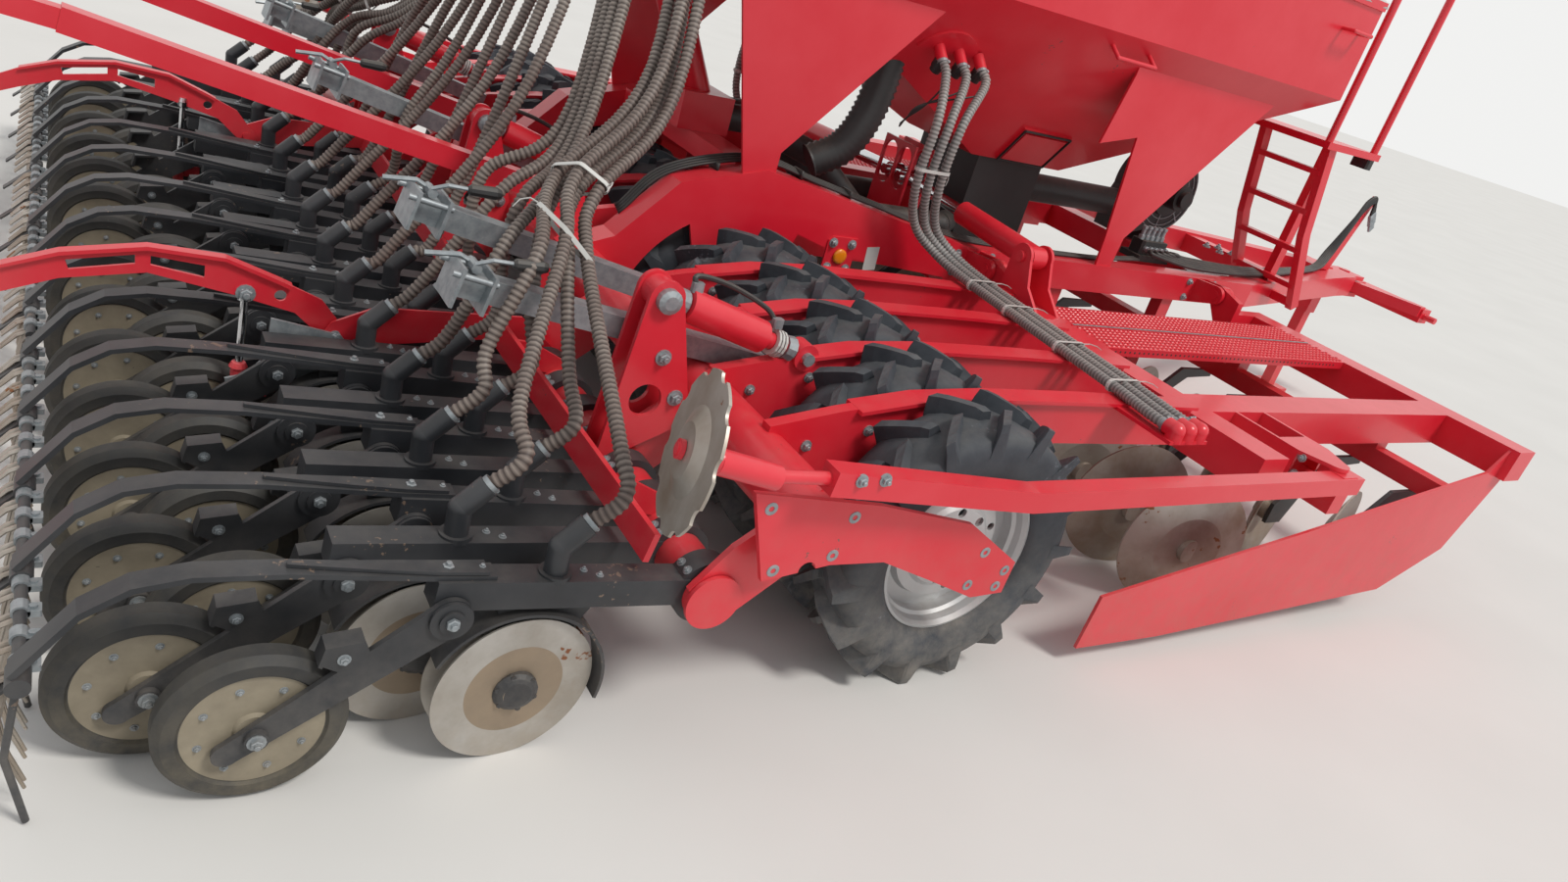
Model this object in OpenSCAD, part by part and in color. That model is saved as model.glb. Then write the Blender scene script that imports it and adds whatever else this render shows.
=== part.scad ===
// Trailed universal seed drill: disc harrow, tyre packer, coulter rail, hopper and fold-up wings.
// Sizes are millimetres. X runs forward, Y to the left, Z up; the origin is the centre of the footprint.

/* [Working width] */
// Width between the outer rows' borders
working_w = 4000; // [3800:20:4200]
// Seed rows, right to left
row_count = 28; // [28:2:28]
// Packer tyres, right to left
tyre_count = 14; // [14:2:14]
// Distance from the middle to each wing's fold axis
hinge_y = 680; // [670:1:690]
// Height of the fold axis
hinge_z = 740; // [735:1:745]
// Top of the wing's beams
beam_top = 700; // [695:1:705]

/* [Packer] */
// Tyre radius to the lugs' tips
tyre_r = 390; // [380:1:395]
// Tyre width
tyre_w = 196; // [180:1:200]
// Lugs on each side of a tyre
lug_count = 15; // [15:1:15]
// Height of a lug at the tyre's shoulder
lug_h = 38; // [30:1:42]
// Rim radius
rim_r = 222; // [210:1:230]
// Packer axle radius
axle_r = 30; // [25:1:35]
// Radius of the cross tube behind the tyres
cross_r = 75; // [65:1:80]
// Cross tube behind the axle
cross_back = 534; // [520:1:545]
// Cross tube height
cross_z = 560; // [550:1:570]

/* [Coulters] */
// Coulter rail behind the axle
rail_back = 738; // [730:1:750]
// Coulter rail height
rail_z = 372; // [365:1:380]
// Coulter rail radius
rail_r = 57; // [52:1:60]
// Coulter tube side
arm_side = 62; // [56:1:66]
// How far the even rows sit behind the odd rows
stagger = 155; // [145:1:160]
// Opener disc radius
opener_r = 170; // [160:1:175]
// Opener disc centre behind the axle, odd rows
opener_back = 1120; // [1110:1:1130]
// Sickle plate between two rows, from the middle
sickle_y = 862; // [860:1:863]
// Seed hose radius
hose_r = 17; // [15:1:18]
// Press wheel radius
press_r = 160; // [150:1:165]
// Press wheel width
press_w = 60; // [50:1:64]
// Press wheel centre behind the axle, odd rows
press_back = 1592; // [1585:1:1600]
// Press wheel arm's pivot behind the axle, odd rows
boss_back = 1282; // [1275:1:1290]
// Press wheel arm's pivot height
boss_z = 380; // [375:1:385]
// Tine bar behind the axle
tine_back = 1930; // [1925:1:1940]
// Tine bar height
tine_z = 310; // [300:1:320]
// Tine bar radius
tine_bar_r = 10; // [8:1:12]

/* [Wing frame] */
// Beam width and height
beam = 120; // [110:1:130]
// Rear cross beam's rear face, before the axle
beam_rear_x = 960; // [950:1:970]
// Front cross beam's rear face, before the axle
beam_front_x = 2550; // [2530:1:2570]
// Radius of the fold pin
pin_r = 20; // [16:1:24]
// Fold cylinder's wing pin, from the middle
ear_y = 850; // [840:1:860]
// Fold cylinder's wing pin height
ear_z = 856; // [850:1:865]
// Fold cylinder's centre pin, from the middle
fold_in_y = 50; // [45:1:60]
// Fold cylinder's tube radius
barrel_r = 45; // [40:1:50]
// Harrow disc radius
harrow_r = 230; // [215:1:235]
// Harrow disc angle to the travel direction
harrow_turn = 17; // [12:1:20]
// Harrow disc pitch
harrow_pitch = 250; // [245:1:255]
// Front harrow row before the axle
harrow_front = 1900; // [1880:1:1920]
// Rear harrow row before the axle
harrow_rear = 1180; // [1160:1:1200]

/* [Hopper] */
// Hopper half width at the rim
hopper_half = 625; // [600:1:628]
// Rim height
rim_z = 2040; // [2000:5:2080]
// Crease height between the panel and the funnel
crease_z = 1640; // [1600:5:1680]
// Hopper rear end, behind the axle
hopper_back = 215; // [205:1:220]
// Hopper front end, before the axle
hopper_front = 2690; // [2650:5:2720]
// Sheet of the hopper
hopper_t = 6; // [4:1:8]
// Height of the funnel's mouth
outlet_z = 1060; // [1040:1:1080]

/* [Ends] */
// Lower link bar's front face before the axle
front_end = 4740; // [4700:5:4760]
// Lamp carrier's rear end behind the axle
rear_end = 3080; // [3040:5:3120]
// Lower link pin radius
link_r = 18; // [16:1:19]
// Stand leg side
leg_side = 60; // [50:1:70]

/* [Hidden] */
$fn = 48;
gap = 0.5;
tower_x = -721;
tower_z = 834;
slot_low = 880;
slot_high = 965;
lift_eye_x = -282;
lift_eye_z = 698;
tower_half = 34;
clamp_half = 28;
row_pitch = working_w / row_count;
tyre_pitch = working_w / tyre_count;
wing_arm_y = [for (i = [1 : 4]) working_w / 2 - i * tyre_pitch];
mid_x = (front_end - rear_end) / 2;
cross_x = -cross_back;
rail_x = -rail_back;
beam_low = beam_top - beam;
wing_in = hinge_y + 55;
side_in = 465;
side_out = 565;
side_y = working_w / 2;
rail_end = side_y - 15;
rail_cut = 12;
rail_wing = hinge_y + rail_cut;
rail_mid = hinge_y - rail_cut;
marker_x = 1280;
marker_y = side_y + 40;
marker_tube_y = side_y + 80;
marker_pin_r = 14;
sickle_x = -1295;
sickle_z = 443;
sickle_t = 8;
disc_rise = 9;
marker_tip = [-955, -marker_tube_y, 793];
marker_r = 155;
elbow_back = 1077;
elbow_r = 24;
bar_w = 55;
bar_a_y = wing_arm_y[2] - 17 - bar_w / 2;
bar_b_y = 1345;
bar_c_y = 98;
guard_r = opener_r + 12;
disc_lean = 16;
head_x = -300;
head_r = 250;
head_z = 2265;
fold_x = beam_rear_x + beam / 2;
funnel_turn = atan2(hopper_half - 220, crease_z - outlet_z);
mid_arm_y = [-tyre_pitch, 0, tyre_pitch];
function row_y(n) = -working_w / 2 + (n - 0.5) * row_pitch;
function tyre_y(i) = -working_w / 2 + (i - 0.5) * tyre_pitch;
function row_dx(n) = n % 2 == 1 ? 0 : -stagger;
RIGHT_ROWS = [1 : 9];
MID_ROWS = [10 : 19];
LEFT_ROWS = [20 : 28];
red = "firebrick";
black = [0.12, 0.12, 0.13];
steel = [0.62, 0.61, 0.58];
zinc = [0.72, 0.74, 0.75];

// Places the whole machine with its footprint's centre on the origin.
module machine() {
  translate([-mid_x, 0, 0]) children();
}

// A profile in X and Z, extruded to a plate of thickness t whose centre is at y.
module side_plate(y, t) {
  translate([0, y + t / 2, 0]) rotate([90, 0, 0]) linear_extrude(t) children();
}

// A round bar along Y between two places.
module bar_y(x, z, r, y0, y1) {
  translate([x, y0, z]) rotate([-90, 0, 0]) cylinder(h = y1 - y0, r = r);
}

// A round bar along X between two places.
module bar_x(y, z, r, x0, x1) {
  translate([x0, y, z]) rotate([0, 90, 0]) cylinder(h = x1 - x0, r = r);
}

// A box between two corners.
module box(a, b) {
  translate(a) cube(b - a);
}

// A hollow box between two corners, open along Y.
module tube_y(a, b, t) {
  difference() {
    box(a, b);
    box(a + [t, -1, t], b + [-t, 1, -t]);
  }
}

// A hollow box between two corners, open along X.
module tube_x(a, b, t) {
  difference() {
    box(a, b);
    box(a + [-1, t, t], b + [1, -t, -t]);
  }
}

// A straight square bar between two points of the X and Z plane.
module lean_bar(p, q, y, w, h) {
  len = norm(q - p);
  ang = atan2(q[1] - p[1], q[0] - p[0]);
  translate([p[0], y, p[1]]) rotate([0, -ang, 0]) translate([0, -w / 2, -h / 2]) cube([len, w, h]);
}

// A straight round bar between two points.
module rod_between(p, q, r) {
  v = q - p;
  len = norm(v);
  translate(p) rotate([0, acos(v[2] / len), atan2(v[1], v[0])]) cylinder(h = len, r = r);
}

// Packer
// One station of a tyre: radius, share of the width and lead angle of its seven points.
function tyre_station(j) = [[rim_r + 3.6, -0.36, 0], [tyre_r - 88, -0.5, 0],
  [j % 2 == 0 ? tyre_r : tyre_r - lug_h, -0.46, -6], [tyre_r - lug_h / 2, 0, 6],
  [j % 2 == 0 ? tyre_r - lug_h : tyre_r, 0.46, -6], [tyre_r - 88, 0.5, 0], [rim_r + 3.6, 0.36, 0]];

// A tyre whose shoulders step between carcass and lug tip from station to station.
module tyre(i) {
  stations = 2 * lug_count;
  step = 360 / stations;
  pts = [for (j = [0 : stations - 1]) for (p = tyre_station(j))
    let (a = -90 + 6 + j * step + p[2]) [p[0] * cos(a), p[1] * tyre_w, p[0] * sin(a)]];
  function at(j, k) = (j % stations) * 7 + k % 7;
  translate([0, tyre_y(i), tyre_r]) polyhedron(points = pts,
    faces = [for (j = [0 : stations - 1]) for (k = [0 : 6]) each
      [[at(j, k), at(j, k + 1), at(j + 1, k + 1)], [at(j, k), at(j + 1, k + 1), at(j + 1, k)]]]);
}

// A rim with a stepped dish and round hand holes.
module rim(i) {
  translate([0, tyre_y(i), tyre_r]) rotate([90, 0, 0]) difference() {
    rotate_extrude($fn = 72)
      polygon([[axle_r + gap, -60], [axle_r + 28, -60], [axle_r + 28, 20], [112, 20], [124, 10], [150,
        10], [158, -10],
        [rim_r - 30, -10], [rim_r - 26, -tyre_w * 0.30], [rim_r - 8, -tyre_w * 0.34], [rim_r + 2,
          -tyre_w * 0.36],
        [rim_r + 2, tyre_w * 0.36], [rim_r - 5, tyre_w * 0.37], [rim_r - 12, tyre_w * 0.30], [rim_r - 16,
          tyre_w * 0.20],
        [rim_r - 24, tyre_w * 0.16], [rim_r - 24, 0], [162, 0], [154, 20], [124, 20], [112, 30],
          [axle_r + 28, 30],
        [axle_r + 28, 60], [axle_r + gap, 60]]);
    for (k = [0 : 7]) rotate([0, 0, k * 45]) translate([100, 0, -20]) cylinder(h = 80, r = 13);
    for (k = [0 : 3]) rotate([0, 0, 20 + k * 90]) translate([138, 0, -20]) cylinder(h = 80, r = 11);
  }
}

module tyres(a, b) {
  color(black) for (i = [a : b]) tyre(i);
}

module rims(a, b) {
  color(zinc) for (i = [a : b]) rim(i);
}

// The arched arm between two tyres, from the rear cross tube to the front cross beam, with a top flange.
module packer_arm(y) {
  side_plate(y, 34) difference() {
    polygon([[cross_x, cross_z - 60], [cross_x + 60, cross_z - 90], [-160, tyre_r - 10], [-60, tyre_r - 70],
      [60, tyre_r - 70], [190, tyre_r + 120], [420, beam_low + 20], [beam_rear_x, beam_low + 10],
      [beam_rear_x, beam_top + 26], [480, beam_top + 36], [120, beam_top + 38], [-118, beam_top + 27],
        [-346, beam_top - 10],
      [cross_x, cross_z + 90]]);
    translate([cross_x, cross_z]) circle(r = cross_r - 6);
    translate([0, tyre_r]) circle(r = axle_r - 4);
  }
  side_plate(y, 70) polygon([[-300, beam_top - 12], [-118, beam_top + 17], [120, beam_top + 28], [480,
    beam_top + 26],
    [beam_rear_x, beam_top + 16], [beam_rear_x, beam_top + 26], [480, beam_top + 36], [120, beam_top + 38],
    [-118, beam_top + 27], [-300, beam_top - 2]]);
}

// The bolted plate that carries the axle's outer end.
module axle_plate() {
  color(red) side_plate(-side_y - 30, 14) difference() {
    polygon([[-747, 669], [-669, 452], [-503, 480], [-353, 475], [-197, 413], [-32, 345], [70, 350],
      [75, 440], [-120, 560], [-412, 625]]);
    translate([-560, 470]) circle(r = 22);
  }
}

// The leaning stop bar above the coulter tubes, with brackets from the rail at the places in ys.
module stop_bar(y0, y1, ys) {
  side_plate((y0 + y1) / 2, y1 - y0) polygon([[rail_x - 155, rail_z + 74], [rail_x - 141, rail_z + 72],
    [rail_x - 128, rail_z + 137], [rail_x - 142, rail_z + 139]]);
  for (y = ys) side_plate(y, 12) polygon([[rail_x - 30, rail_z + 44], [rail_x + 30, rail_z + 42],
    [rail_x + 40, rail_z + 66],
    [rail_x - 90, rail_z + 132], [rail_x - 130, rail_z + 136], [rail_x - 143, rail_z + 73]]);
}

// The tower on the coulter rail with its lift cylinder, between two rows at y.
module lift_tower(y) {
  for (d = [-tower_half, tower_half]) side_plate(y + d, 12) difference() {
    union() {
      polygon([[rail_x - 77, rail_z + 28], [rail_x + 153, rail_z + 148], [tower_x + 45, tower_z],
        [tower_x - 45, tower_z]]);
      translate([tower_x, tower_z]) circle(r = 45);
    }
    translate([rail_x + 21, rail_z + 205]) circle(r = 42);
  }
  bar_y(tower_x, tower_z, 18, y - tower_half - 20, y + tower_half + 20);
  bar_y(tower_x, tower_z, 38, y - tower_half + 7, y + tower_half - 7);
  rod_between([tower_x, y, tower_z], [tower_x + 24, y, tower_z - 7.5], 26);
  rod_between([tower_x + 70, y, tower_z - 21.7], [-420, y, 740.8], 42);
  rod_between([tower_x + 20, y, tower_z - 6.2], [lift_eye_x, y, lift_eye_z], 22);
  bar_y(lift_eye_x, lift_eye_z, 36, y - 28, y + 28);
}

module wing_frame() {
  color(red) difference() {
    union() {
      // rear tubes with the coulter rail
      bar_y(cross_x, cross_z, cross_r, -side_y - 23, -rail_wing);
      bar_y(rail_x, rail_z, rail_r, -rail_end, -rail_wing);
      bar_y(rail_x, rail_z, rail_r + 8, -rail_end - 10, -rail_end);
      for (y = [-rail_end + 11, -wing_arm_y[1], -wing_arm_y[3] + 30])
        side_plate(y, 16) polygon([[rail_x - 60, rail_z + 30], [rail_x - 20, rail_z - 62], [rail_x + 40,
          rail_z - 60],
          [cross_x + 60, cross_z - 60], [cross_x + 70, cross_z + 40], [cross_x, cross_z + 85],
            [rail_x + 20, rail_z + 130]]);
      lift_tower(-wing_arm_y[1]);
      stop_bar(-side_y + 70, -rail_wing - 8, [-row_pitch * 12, -row_pitch * 7]);
      // arms between the tyres
      for (y = wing_arm_y) packer_arm(-y);
      bar_y(0, tyre_r, axle_r, -side_y - 37, -tyre_pitch * 2 - 60);
      // welded frame
      tube_y([beam_rear_x, -side_y, beam_low], [beam_rear_x + beam, -wing_in, beam_top], 8);
      tube_y([beam_front_x, -side_y, beam_low], [beam_front_x + beam, -wing_in, beam_top], 8);
      tube_x([beam_rear_x + beam, -side_y + 280, beam_low], [beam_front_x, -side_y + 400, beam_top], 8);
      for (x = [beam_rear_x, beam_front_x]) {
        box([x, -side_y - 10, beam_low], [x + beam, -side_y, beam_top]);
        box([x, -wing_in - 8, beam_low], [x + beam, -wing_in, beam_top]);
      }
      box([beam_rear_x + beam, -1260, beam_top - 30], [beam_front_x, -1082, beam_top]);
      box([beam_rear_x + beam, -1078, beam_top - 30], [beam_front_x, -900, beam_top]);
      box([beam_rear_x + beam, -1082, beam_top - 30], [beam_front_x, -1078, beam_top + 4]);
      // elbows that take the side hoses
      box([590, -1950, 716], [750, -wing_arm_y[0] - 25, 726]);
      for (x = [620 : 50 : 720]) pipe([[x, -1900, 750], [x, -1932, 750], [x, -1932, 720]], 24);
      // hinge lugs
      for (x = [beam_rear_x + 45, beam_front_x - 150])
        translate([x, 0, 0]) rotate([90, 0, 90]) linear_extrude(34) union() {
          translate([-hinge_y, hinge_z]) circle(r = 42);
          polygon([[-wing_in - 60, beam_low + 20], [-wing_in, beam_low + 20], [-hinge_y + 30, hinge_z - 30],
            [-hinge_y, hinge_z + 42], [-wing_in - 60, hinge_z + 10]]);
        }
      box([beam_front_x - 150, -wing_in - 60, beam_low + 20], [beam_front_x, -wing_in, beam_top]);
      // ears of the fold cylinder
      for (x = [fold_x - 12 - 46, fold_x + 46])
        translate([x, 0, 0]) rotate([90, 0, 90]) linear_extrude(12) union() {
          translate([-ear_y, ear_z]) circle(r = 48);
          polygon([[-ear_y - 170, beam_top - 4], [-ear_y + 50, beam_top - 4], [-ear_y + 48, ear_z],
            [-ear_y - 48, ear_z], [-ear_y - 80, beam_top + 70]]);
        }
      // track marker carrier
      box([marker_x - 80, -side_y + 40, beam_top - 90], [marker_x - 68, -side_y + 280, beam_top]);
      box([marker_x + 68, -side_y + 40, beam_top - 90], [marker_x + 80, -side_y + 280, beam_top]);
      for (z = [beam_top - 90, beam_top - 12]) translate([0, 0, z]) linear_extrude(12) union() {
        polygon([[marker_x - 80, -side_y + 120], [marker_x + 80, -side_y + 120], [marker_x + 80,
          -side_y + 40], [marker_x + 38,
          -side_y - 50], [marker_x - 38, -side_y - 50],
          [marker_x - 80, -side_y + 40]]);
        translate([marker_x, -marker_y]) circle(r = 40);
      }
      translate([marker_x, -marker_y, beam_top - 90]) cylinder(h = 90, r = marker_pin_r);
      // sickle carrier
      side_plate(-sickle_y - 14, 8) polygon([[rail_x - 30, rail_z + 44], [rail_x + 40, rail_z + 50],
        [rail_x - 80, rail_z + 150],
        [sickle_x + 90, sickle_z + 80], [sickle_x - 10, sickle_z + 34], [sickle_x - 34, sickle_z - 6],
          [sickle_x, sickle_z - 34],
        [rail_x - 130, rail_z + 84]]);
      bar_y(sickle_x, sickle_z, 12, -sickle_y - 14, -sickle_y + 10);
      // outer side plate
      side_plate(-side_y + 25, 10) polygon([[560, 59], [924, 55], [2154, 110], [2470, 267], [2615, 587],
        [2550, 690],
        [2470, 600], [1443, 399], [572, 239]]);
      // harrow cross tubes
      for (x = [harrow_front + 330, harrow_rear + 330]) box([x, -side_y + 20, 470], [x + 70,
        -hinge_y - 20, 540]);
      for (x = [harrow_front + 330, harrow_rear + 330]) for (y = [-side_y + 340, -1000])
        box([x, y - 30, 540], [x + 70, y + 30, beam_low + 2]);
      for (x = [harrow_front + 330, harrow_rear + 330])
        box([x, -1030, beam_low - 2], [x + 70, -970, beam_top - 30]);
    }
    for (x = [beam_rear_x, beam_front_x - 200]) bar_x(-hinge_y, hinge_z, pin_r + gap, x, x + 300);
  }
  color(red) bar_x(-ear_y, ear_z, pin_r, beam_rear_x - 10, beam_rear_x + beam + 10);
  axle_plate();
}

// Galvanised brackets
// A square bar that carries the seed hoses, from its clamp behind the rail to an arm's side.
module hose_bar(y, p, q) {
  lean_bar(p, q, y, bar_w, bar_w);
  lean_bar(p - [8, -2], p, y, bar_w + 60, bar_w + 36);
  lean_bar(p + [62, -14], p + [70, -16], y, bar_w + 60, bar_w + 36);
  for (d = [-1, 1]) rod_between([p[0] - 18, y + d * 48, p[1] + 32], [p[0] + 84, y + d * 48, p[1] + 10], 7);
}

module wing_brackets() {
  color(zinc) {
    hose_bar(-bar_a_y, [-1214, 875], [-380, 668]);
    hose_bar(-bar_b_y, [-1172, 797], [-350, 633]);
    box([-420, -wing_arm_y[1] + 17, 615], [-370, -bar_b_y - bar_w / 2 + 9, 655]);
    // sickle plate
    side_plate(-sickle_y - 22, 8) difference() {
      polygon([[-1445, 483], [-1282, 447], [-1262, 420], [-1278, 342], [-1400, 318], [-1470, 282], [-1530,
        278], [-1538, 318],
        [-1490, 332], [-1452, 380]]);
      translate([-1330, 380]) circle(r = 7);
      translate([-1395, 368]) circle(r = 7);
    }
  }
}

module centre_brackets() {
  color(zinc) {
    hose_bar(bar_c_y, [-1214, 875], [-380, 668]);
    box([-430, 17, 655], [-380, bar_c_y - bar_w / 2 + 9, 700]);
  }
}

// Harrow
function disc_x(k) = k % 2 == 0 ? harrow_front : harrow_rear;

module harrow_arm(y, k) {
  x = disc_x(k);
  side_plate(y, 16) polygon([[x + 330, 470], [x + 400, 470], [x + 400, 440], [x + 250, 430], [x + 120, 330],
    [x + 60, harrow_r - 40], [x - 30, harrow_r - 40], [x - 30, harrow_r + 40], [x + 50, 340], [x + 200,
      470]]);
}

// A dished disc beside its arm; s says on which side.
module harrow_disc(y, k, s) {
  x = disc_x(k);
  translate([x, y, harrow_r]) mirror([0, s < 0 ? 1 : 0, 0]) {
    translate([0, 42, 0]) rotate([0, 0, harrow_turn]) rotate([90, 0, 0]) rotate_extrude($fn = 60)
      polygon([[0, -8], [120, -8], [harrow_r, 22], [harrow_r, 28], [118, -1], [0, -1]]);
    translate([0, 8, 0]) rotate([-90, 0, 0]) cylinder(h = 50, r = 40);
  }
}

// Front row discs stand at even k, rear row discs at odd k.
function disc_y(k) = -working_w / 2 + harrow_pitch / 2 * (k + 1);
function disc_side(k) = (k % 2 == 0 ? 1 : -1) * (disc_y(k) > 1 ? -1 : 1);

module harrow_arms(a, b) {
  color(black) for (k = [a : b]) harrow_arm(disc_y(k), k);
}

module harrow_discs(a, b) {
  color(steel) for (k = [a : b]) harrow_disc(disc_y(k), k, disc_side(k));
}

// Coulters
// A flat bar's outline with round ends between two points of the X and Z plane.
module link_shape(p, q, rp, rq) {
  d = (q - p) / norm(q - p);
  n = [-d[1], d[0]];
  translate(p) circle(r = rp);
  translate(q) circle(r = rq);
  polygon([p + n * rp * 0.97, q + n * rq * 0.97, q - n * rq * 0.97, p - n * rp * 0.97]);
}

// The top of a row's tube at x; dx is how far the row is set back.
function tube_top(x, dx = 0) = rail_z + 8 + arm_side / 2
  + (boss_z + 34 - rail_z) * (rail_x - rail_r + 8 - x) / (boss_back - dx + 30 - rail_back - rail_r + 8);
function elbow_x(n) = -elbow_back + row_dx(n);
function elbow_foot(n) = tube_top(elbow_x(n), row_dx(n));
function elbow_end(n) = [elbow_x(n) + 48, row_y(n), elbow_foot(n) + 110];

// The elbow on a row's tube that takes its seed hose.
module hose_elbow(n, y) {
  x = elbow_x(n);
  z = elbow_foot(n);
  translate([x, y, z - 6]) cylinder(h = 13, r = elbow_r + 9);
  pipe([[x, y, z - 4], [x, y, z + 62], [x + 48, y, z + 110]], elbow_r);
}

// The arched guard over a pair of opener discs.
module opener_guard(n, y) {
  side_plate(y, 60) translate([-opener_back + row_dx(n), opener_r]) intersection() {
    difference() {
      circle(r = guard_r + 7, $fn = 72);
      circle(r = guard_r, $fn = 72);
    }
    polygon([[0, 0], [guard_r * 1.5, -guard_r * 0.4], [guard_r * 1.5, guard_r * 1.5], [-guard_r * 1.5,
      guard_r * 1.5],
      [-guard_r * 1.5, guard_r * 0.75]]);
  }
}

// The folded scraper plate on a press wheel's arm.
module scraper(x, y) {
  side_plate(y - arm_side / 2 - 8, 12)
    polygon([[x + 98, press_r + 142], [x + 100, press_r + 180], [x + 165, press_r + 188], [x + 185,
      press_r + 140], [x + 150, press_r + 112]]);
  side_plate(y - 24, 42) polygon([[x + 90, press_r + 142], [x + 97, press_r + 138], [x + 105,
    press_r + 175],
    [x + 165, press_r + 182], [x + 165, press_r + 189], [x + 99, press_r + 181]]);
}

// Rows on the left wing have their press wheel's arm on the left side, the others on the right.
module coulter(n) {
  if (n < LEFT_ROWS[0]) coulter_at(n, row_y(n));
  else mirror([0, 1, 0]) coulter_at(n, -row_y(n));
}

module coulter_at(n, y) {
  dx = row_dx(n);
  side = y - arm_side / 2;
  end_x = -boss_back + dx - 30;
  wheel_x = -press_back + dx;
  color(black) difference() {
    union() {
      bar_y(rail_x, rail_z, rail_r + 18, y - clamp_half, y + clamp_half);
      lean_bar([rail_x - rail_r + 8, rail_z + 8], [end_x, boss_z + 42], y, arm_side, arm_side);
      side_plate(y, 12) polygon([[-opener_back + dx + 150, 372], [-opener_back + dx + 60, 230],
        [-opener_back + dx - 20, opener_r - 30], [-opener_back + dx - 40, opener_r + 30],
          [-opener_back + dx - 60, 372]]);
      // press wheel arm beside the tube
      side_plate(side - 8, 12) link_shape([-boss_back + dx, boss_z], [wheel_x - 46, press_r - 34], 42, 23);
      bar_y(-boss_back + dx, boss_z, 40, side - 22, side - 12);
      bar_y(-boss_back + dx, boss_z, 24, side - 27, y);
      bar_y(wheel_x, press_r, 20, side - 26, side - 12);
      scraper(wheel_x, y);
      opener_guard(n, y);
      hose_elbow(n, y);
    }
    bar_y(rail_x, rail_z, rail_r + gap, y - 40, y + 40);
  }
  color(black) bar_y(wheel_x, press_r, 12, side - 10, y + press_w / 2);
}

module opener(n) {
  x = -opener_back + row_dx(n);
  y = row_y(n);
  for (s = [-1, 1]) color(steel) translate([x, y + s * 20, opener_r]) rotate([0, 0, -s * 5]) rotate([90,
    0, 0])
    cylinder(h = 4, r = opener_r, center = true, $fn = 72);
  color(steel) for (s = [-1, 1]) bar_y(x, opener_r, 28, s > 0 ? y + 6.3 : y - 40, s > 0 ? y + 40 : y - 6.3);
}

// Flat spring on an odd row with its clamp, tine and blade on the tine bar.
module spring_tine(n) {
  y = row_y(n);
  color(black) side_plate(y, 46) polygon([[-1200, tube_top(-1200) - 1], [-1310, tube_top(-1310) - 1],
    [-1400, boss_z + 82], [-1560, boss_z + 100],
    [-1700, boss_z + 106], [-1780, boss_z + 92], [-1850, boss_z + 50], [-tine_back - 6, tine_z + 14],
    [-tine_back - 14, tine_z + 22], [-1855, boss_z + 60], [-1785, boss_z + 102], [-1700, boss_z + 116],
    [-1560, boss_z + 110], [-1400, boss_z + 92], [-1310, tube_top(-1310) + 9], [-1200,
      tube_top(-1200) + 9]]);
  color(steel) bar_y(-tine_back, tine_z, tine_bar_r + 8, y - 26, y + 26);
  color(black) pipe([[-tine_back, y, tine_z], [-tine_back - 22, y, 150], [-tine_back + 5, y, 7]], 6);
  color(black) lean_bar([-tine_back, tine_z - 10], [-tine_back - 90, tine_z - 90], y + 20, 30, 5);
}

module coulters(rows, y0, y1) {
  for (n = rows) coulter(n);
  for (n = rows) if (n % 2 == 1) spring_tine(n);
  color(steel) bar_y(-tine_back, tine_z, tine_bar_r, y0, y1);
}

module openers(rows) {
  for (n = rows) opener(n);
}

module press_wheel(n) {
  translate([-press_back + row_dx(n), row_y(n), press_r]) rotate([90, 0, 0]) rotate_extrude($fn = 72)
    polygon([[12 + gap, -press_w / 2 + 4], [30, -press_w / 2 + 4], [34, -press_w / 2 + 12], [press_r - 40,
      -press_w / 2 + 6],
      [press_r - 36, -press_w / 2], [press_r - 14, -press_w / 2], [press_r, -press_w / 2 + 14],
      [press_r, press_w / 2 - 14], [press_r - 14, press_w / 2], [press_r - 36, press_w / 2],
      [press_r - 40, press_w / 2 - 6], [34, press_w / 2 - 12], [30, press_w / 2 - 4], [12 + gap,
        press_w / 2 - 4]]);
}

module press_wheels(rows, odd) {
  color(black) for (n = rows) if (n % 2 == odd) press_wheel(n);
}

// Centre
module arch_profile() {
  difference() {
    polygon([[cross_x - 60, cross_z - 70], [cross_x - 70, cross_z + 60], [-449, 678], [-269, 871], [30,
      949], [277, 908],
      [527, 861], [1010, 778], [1360, 774], [beam_front_x, 774], [beam_front_x, 662], [1120, 655], [1080,
        600], [940, 600], [900, 655], [430, 690],
      [0, tyre_r + 420], [-400, 520]]);
    translate([0, tyre_r]) circle(r = tyre_r + 18, $fn = 96);
  }
}

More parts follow.
